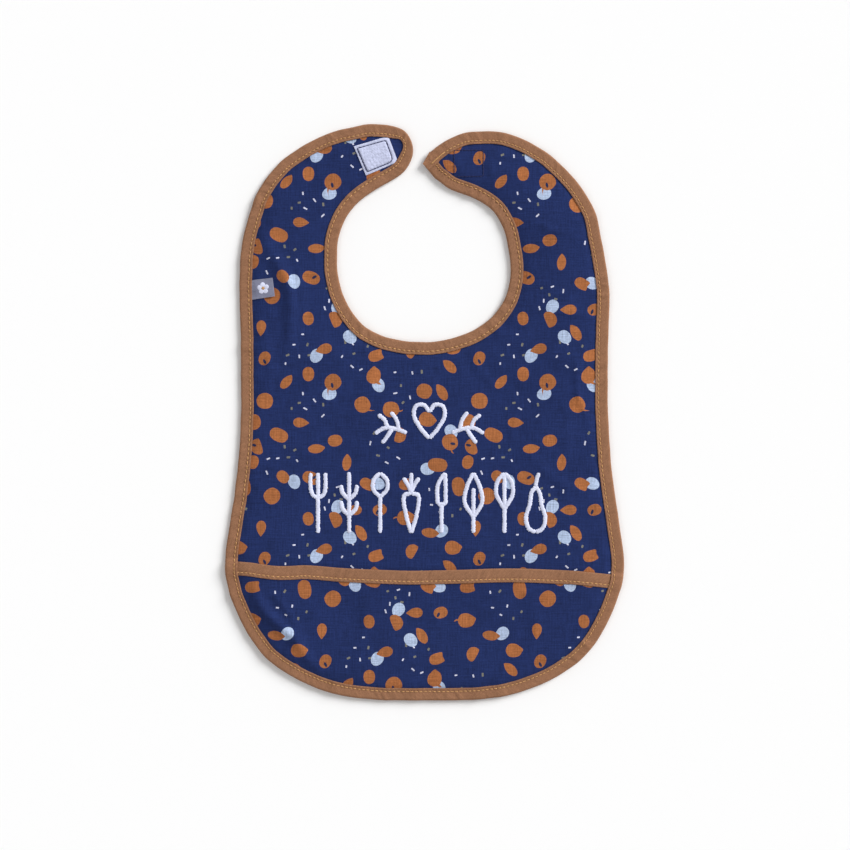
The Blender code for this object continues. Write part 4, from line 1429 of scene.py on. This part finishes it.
def disc(u, v, radius, spot, raise_by=0.0):
    """A small raised round patch of satin stitch on the label's upper face."""
    t = np.arange(18) * math.tau / 18
    rings = []
    for share, height in ((1.0, 0.0), (1.0, 0.1), (0.72, 0.2), (0.36, 0.24)):
        uu = u + radius * share * np.cos(t)
        vv = v + radius * share * np.sin(t)
        lift = 0.34 + label_curl(uu)
        rings.append(spot(uu, vv, lift + 0.04 + height + raise_by))
    rings = np.stack(rings, axis=0)
    faces = grid_faces(4, 18, True).tolist()
    faces.append(list(range(18))[::-1])
    faces.append([3 * 18 + k for k in range(18)])
    return rings.reshape(-1, 3), faces, rings[..., :2].reshape(-1, 2)


# ---------------------------------------------------------------- embroidery

def satin_stroke(points, rng):
    """One line of satin stitch: threads laid side by side across it over a raised core."""
    path = resampled(smooth(points, 10), SATIN_PITCH / 4)
    at = lengths_along(path)
    ahead = unit(np.gradient(path, axis=0))
    aside = np.stack([-ahead[:, 1], ahead[:, 0]], axis=1)
    end_gap = np.minimum(at, at[-1] - at) + 0.08
    half = STROKE_WIDTH / 2 * np.maximum(quarter_round(end_gap, 1.3), math.sqrt(0.02))
    threads = int(at[-1] / SATIN_PITCH) + 3
    ragged = rng.uniform(-0.24, 0.2, (2, threads))
    number = np.clip((at / SATIN_PITCH).astype(int), 0, threads - 1)
    across = np.array([-1.0, -0.93, -0.74, -0.45, 0.0, 0.45, 0.74, 0.93, 1.0, 0.6, -0.6])
    rings = []
    for k, share in enumerate(across):
        hidden = k > 8
        jag = ragged[1 if share > 0 else 0][number] * share * np.abs(share) * np.minimum(half, 1)
        offset = half * share + jag
        spot = path + aside * offset[:, None]
        x, y = spot[:, 0], spot[:, 1]
        crown = 0.0 if hidden else math.sqrt(max(1 - abs(share) ** 2.6, 0))
        phase = (at + 0.3 * share) * math.tau / SATIN_PITCH
        ridge = 0.0 if hidden else 0.075 * np.cos(phase) * (0.4 + 0.6 * crown)
        z = front_height(x, y) + (-0.12 if hidden else 0.02 + 0.62 * crown * half / 1.3) + ridge
        rings.append(np.column_stack([x, y, z]))
    rings = np.stack(rings, axis=1)
    verts, faces = swept(rings)
    flat = np.stack([np.repeat(at[:, None], len(across), 1), np.repeat(across[None] * 1.3, len(at), 0)], axis=2)
    return verts, faces, flat.reshape(-1, 2)


def make_embroidery(materials):
    rng = np.random.default_rng(SEED + 90)
    figures = {"heart": (HEART, CREST_MIDDLE), "branch_right": (BRANCH, CREST_MIDDLE),
               "branch_left": ([mirrored(line) for line in BRANCH], CREST_MIDDLE)}
    for i, (name, strokes) in enumerate(ICONS.items()):
        figures[name] = (strokes, (FIRST_ICON_X + i * ICON_PITCH, ICON_ROW_Y))
    for name, (strokes, middle) in figures.items():
        parts = [satin_stroke(np.array(points) + np.array(middle), rng) for points in strokes]
        verts, faces, flat = joined(parts)
        figure = make_mesh(f"satin_{name}", verts, faces, materials["satin"], flat, sharp=75)
        finish_piece(figure, [f"embroidery_{name}"], "bib")


# ---------------------------------------------------------------- materials

class Nodes:
    """Short calls for building a material's nodes."""

    def __init__(self, name, roughness, **settings):
        self.material = bpy.data.materials.new(name)
        self.material.use_nodes = True
        self.tree = self.material.node_tree
        self.shader = self.tree.nodes["Principled BSDF"]
        self.shader.inputs["Roughness"].default_value = roughness
        for socket, value in settings.items():
            self.shader.inputs[socket.replace("_", " ")].default_value = value

    def add(self, kind, inputs=(), **settings):
        node = self.tree.nodes.new(kind)
        for key, value in settings.items():
            setattr(node, key, value)
        for key, value in dict(inputs).items():
            if isinstance(value, bpy.types.NodeSocket):
                self.tree.links.new(value, node.inputs[key])
            else:
                node.inputs[key].default_value = value
        return node

    def math(self, operation, a, b=0.0):
        return self.add("ShaderNodeMath", {0: a, 1: b}, operation=operation).outputs[0]

    def flat(self):
        vector = self.add("ShaderNodeAttribute", attribute_name="flat").outputs["Vector"]
        return vector, self.add("ShaderNodeSeparateXYZ", {0: vector})

    def ink(self):
        return self.add("ShaderNodeAttribute", attribute_name="ink").outputs["Color"]

    def blended(self, first, second, share):
        """The first value's share added to the rest of the second."""
        return self.math("ADD", self.math("MULTIPLY", first, share), self.math("MULTIPLY", second, 1 - share))

    def noise(self, vector, scale, detail=2.0, stretch=(1, 1, 1)):
        moved = self.add("ShaderNodeMapping", {"Vector": vector, "Scale": stretch}).outputs[0]
        node = self.add("ShaderNodeTexNoise", {"Vector": moved, "Scale": scale, "Detail": detail})
        return node.outputs["Fac"]

    def weave(self, axes, pitch):
        """A plain weave: raised crossings one thread apart."""
        x = self.math("SINE", self.math("MULTIPLY", axes.outputs[0], math.pi / pitch))
        y = self.math("SINE", self.math("MULTIPLY", axes.outputs[1], math.pi / pitch))
        return self.math("MULTIPLY", x, y)

    def tinted(self, colour, amount, low, high):
        """A colour scaled between low and high by an amount from 0 to 1."""
        factor = self.add("ShaderNodeMapRange", {0: amount, 1: 0.3, 2: 0.7, 3: low, 4: high}).outputs[0]
        mix = self.add("ShaderNodeVectorMath", {0: colour, 1: factor}, operation="MULTIPLY")
        return mix.outputs[0]

    def bump(self, height, strength, distance):
        node = self.add("ShaderNodeBump", {"Height": height, "Strength": strength, "Distance": distance})
        self.tree.links.new(node.outputs[0], self.shader.inputs["Normal"])

    def colour(self, socket):
        self.tree.links.new(socket, self.shader.inputs["Base Color"])

    def plain(self, colour):
        node = self.add("ShaderNodeRGB")
        node.outputs[0].default_value = linear(colour)
        return node.outputs[0]


def cotton_material():
    """Printed cotton: the ink, threads that vary along warp and weft, and a plain weave."""
    n = Nodes("printed_cotton", 0.92, Specular_IOR_Level=0.12, Sheen_Weight=0.04, Sheen_Roughness=0.5)
    vector, axes = n.flat()
    warp = n.noise(vector, 1.0, 2.0, (1.5, 0.09, 1))
    weft = n.noise(vector, 1.0, 2.0, (0.09, 1.5, 1))
    both = n.blended(warp, weft, 0.5)
    shade = n.tinted(n.ink(), both, 0.68, 1.32)
    shade = n.tinted(shade, n.noise(vector, 0.9, 2.0), 0.88, 1.12)
    n.colour(n.tinted(shade, n.noise(vector, 0.035, 3.0), 0.94, 1.06))
    n.bump(n.math("ADD", n.weave(axes, 0.45), n.math("MULTIPLY", both, 2.4)), 0.4, 0.00013)
    return n.material


def backing_material():
    """Coated backing: smooth and a little glossy, with the cloth's grain showing through."""
    n = Nodes("coated_backing", 0.42, Specular_IOR_Level=0.45)
    vector, axes = n.flat()
    n.colour(n.tinted(n.ink(), n.noise(vector, 0.05, 3.0), 0.93, 1.05))
    n.bump(n.math("ADD", n.weave(axes, 0.5), n.noise(vector, 0.5, 2.0)), 0.2, 0.00012)
    return n.material


def tape_material():
    """Bias tape: a brown plain weave on the slant, with slubs."""
    n = Nodes("bias_tape", 0.95, Specular_IOR_Level=0.12, Sheen_Weight=0.05)
    vector, _ = n.flat()
    slant = n.add("ShaderNodeMapping", {"Vector": vector, "Rotation": (0, 0, math.radians(40))}).outputs[0]
    split = n.add("ShaderNodeSeparateXYZ", {0: slant})
    warp = n.noise(slant, 1.0, 2.0, (2.0, 0.3, 1))
    weft = n.noise(slant, 1.0, 2.0, (0.3, 2.0, 1))
    both = n.blended(warp, weft, 0.65)
    shade = n.tinted(n.plain(TAPE), both, 0.82, 1.18)
    shade = n.tinted(shade, n.noise(vector, 1.3, 2.0), 0.88, 1.12)
    n.colour(n.tinted(shade, n.noise(vector, 0.06, 2.0), 0.95, 1.05))
    n.bump(n.math("ADD", n.weave(split, 0.42), n.math("MULTIPLY", both, 2.6)), 0.5, 0.00015)
    return n.material


def thread_material(name, colour, roughness, twist, strength):
    """Thread: twisted plies, seen as slanting ridges."""
    n = Nodes(name, roughness, Specular_IOR_Level=0.3, Sheen_Weight=0.05)
    vector, axes = n.flat()
    slant = n.math("ADD", n.math("MULTIPLY", axes.outputs[0], twist), n.math("MULTIPLY", axes.outputs[1], 9.0))
    ply = n.math("SINE", slant)
    n.colour(n.tinted(n.plain(colour), n.noise(vector, 0.7, 2.0), 0.84, 1.14))
    n.bump(ply, strength, 0.00008)
    return n.material


def satin_material():
    """White embroidery floss: glossy threads across the stroke, with painted shade that greys the dips between
    threads.
    """
    n = Nodes("white_floss", 0.45, Specular_IOR_Level=0.4, Sheen_Weight=0.05)
    vector, axes = n.flat()
    phase = n.math("ADD", axes.outputs[0], n.math("MULTIPLY", axes.outputs[1], 0.23))
    thread = n.math("COSINE", n.math("MULTIPLY", phase, math.tau / SATIN_PITCH))
    # Painted shade: the white darkens to 0.82 in the dips between the laid threads.
    painted_groove_shade = n.tinted(n.plain(SATIN_WHITE), n.math("ADD", n.math("MULTIPLY", thread, 0.2), 0.5), 0.82, 1.0)
    n.colour(n.tinted(painted_groove_shade, n.noise(vector, 1.1, 2.0, (1.0, 0.3, 1)), 0.88, 1.06))
    n.bump(n.noise(vector, 3.0, 2.0, (1.0, 0.15, 1)), 0.3, 0.0001)
    return n.material


def pile_material():
    """Brushed loop pile: a fuzz of fine curls."""
    n = Nodes("loop_pile", 0.97, Specular_IOR_Level=0.1, Sheen_Weight=0.12, Sheen_Roughness=0.6)
    vector, _ = n.flat()
    n.colour(n.tinted(n.ink(), n.noise(vector, 0.5, 4.0), 0.86, 1.08))
    n.bump(n.noise(vector, 1.7, 6.0), 0.8, 0.0004)
    return n.material


def hook_material():
    """Nylon hook tape: white plastic on a fine weave."""
    n = Nodes("hook_nylon", 0.38, Specular_IOR_Level=0.5)
    vector, axes = n.flat()
    n.colour(n.tinted(n.plain(HOOK_WHITE), n.noise(vector, 0.8, 3.0), 0.9, 1.04))
    n.bump(n.weave(axes, 0.4), 0.25, 0.0001)
    return n.material


def label_material():
    """Woven satin ribbon: fine ribs across, with a soft gloss."""
    n = Nodes("label_satin", 0.6, Specular_IOR_Level=0.25, Sheen_Weight=0.08)
    vector, axes = n.flat()
    rib = n.math("SINE", n.math("MULTIPLY", axes.outputs[1], math.tau / 0.42))
    streak = n.noise(vector, 1.0, 3.0, (0.3, 3.5, 1))
    n.colour(n.tinted(n.plain(LABEL_GREY), streak, 0.84, 1.16))
    n.bump(n.math("ADD", rib, n.weave(axes, 0.3)), 0.35, 0.0001)
    return n.material


def floor_material():
    n = Nodes("pale_floor", 0.9)
    n.shader.inputs["Base Color"].default_value = (0.96, 0.96, 0.96, 1)
    return n.material


# ---------------------------------------------------------------- stage

def make_world():
    """White light from all round, brighter below and just above the horizon."""
    world = bpy.data.worlds.new("studio")
    world.use_nodes = True
    tree = world.node_tree
    axes = tree.nodes.new("ShaderNodeSeparateXYZ")
    band = tree.nodes.new("ShaderNodeMapRange")
    tree.links.new(tree.nodes.new("ShaderNodeTexCoord").outputs["Generated"], axes.inputs[0])
    tree.links.new(axes.outputs[2], band.inputs[0])
    for k, value in enumerate((0.14, 0.34, HORIZON_STRENGTH, WORLD_STRENGTH), 1):
        band.inputs[k].default_value = value
    background = tree.nodes["Background"]
    background.inputs["Color"].default_value = (1.0, 1.0, 1.0, 1)
    tree.links.new(band.outputs[0], background.inputs["Strength"])
    bpy.context.scene.world = world


def make_stage():
    """A wide pale floor, two broad suns and a camera looking straight down."""
    mesh = bpy.data.meshes.new("floor")
    reach = 14.0
    corners = [(-reach, -reach, 0), (reach, -reach, 0), (reach, reach, 0), (-reach, reach, 0)]
    mesh.from_pydata(corners, [], [(0, 1, 2, 3)])
    mesh.materials.append(floor_material())
    floor = bpy.data.objects.new("floor", mesh)
    floor.location.z = -0.0002
    bpy.context.scene.collection.objects.link(floor)

    make_world()
    for name, place, spread_angle, strength in LIGHTS:
        lamp = bpy.data.lights.new(name, "SUN")
        lamp.angle = math.radians(spread_angle)
        lamp.energy = strength
        light = bpy.data.objects.new(name, lamp)
        light.location = place
        light.rotation_euler = (-Vector(place)).to_track_quat("-Z", "Y").to_euler()
        bpy.context.scene.collection.objects.link(light)

    lens = bpy.data.cameras.new("camera")
    lens.lens = 85
    lens.sensor_width = 36
    lens.clip_start = 0.01
    camera = bpy.data.objects.new("camera", lens)
    camera.location = (0.0003, -0.0081, CAMERA_HEIGHT)
    bpy.context.scene.collection.objects.link(camera)
    bpy.context.scene.camera = camera
    bpy.context.scene.view_settings.view_transform = "Standard"


WORLD_STRENGTH = 0.4
HORIZON_STRENGTH = 0.97
LIGHTS = [
    ("key", (2.1, 1.5, 1.45), 30.0, 3.35),
    ("fill", (-2.2, -1.2, 2.2), 28.0, 0.35),
]
CAMERA_HEIGHT = 1.256

MATERIALS = {
    "cotton": cotton_material(),
    "backing": backing_material(),
    "tape": tape_material(),
    "ochre": thread_material("ochre_thread", OCHRE, 0.6, 7.0, 0.5),
    "dark": thread_material("dark_thread", DARK_THREAD, 0.6, 7.0, 0.5),
    "satin": satin_material(),
    "pile": pile_material(),
    "hooks": hook_material(),
    "label": label_material(),
}

make_stage()
relief = sampler(make_relief())
pocket_relief = sampler(make_pocket_relief())
RUNS = station_runs()
PATTERN = make_cloths(MATERIALS)
make_edge_tapes(MATERIALS, RUNS)
make_edge_stitches(MATERIALS, RUNS)
make_tip_join(MATERIALS)
make_pocket(MATERIALS, PATTERN)
make_pocket_tape(MATERIALS)
make_loop_pad(MATERIALS)
make_hook_pad(MATERIALS)
make_label(MATERIALS)
make_embroidery(MATERIALS)
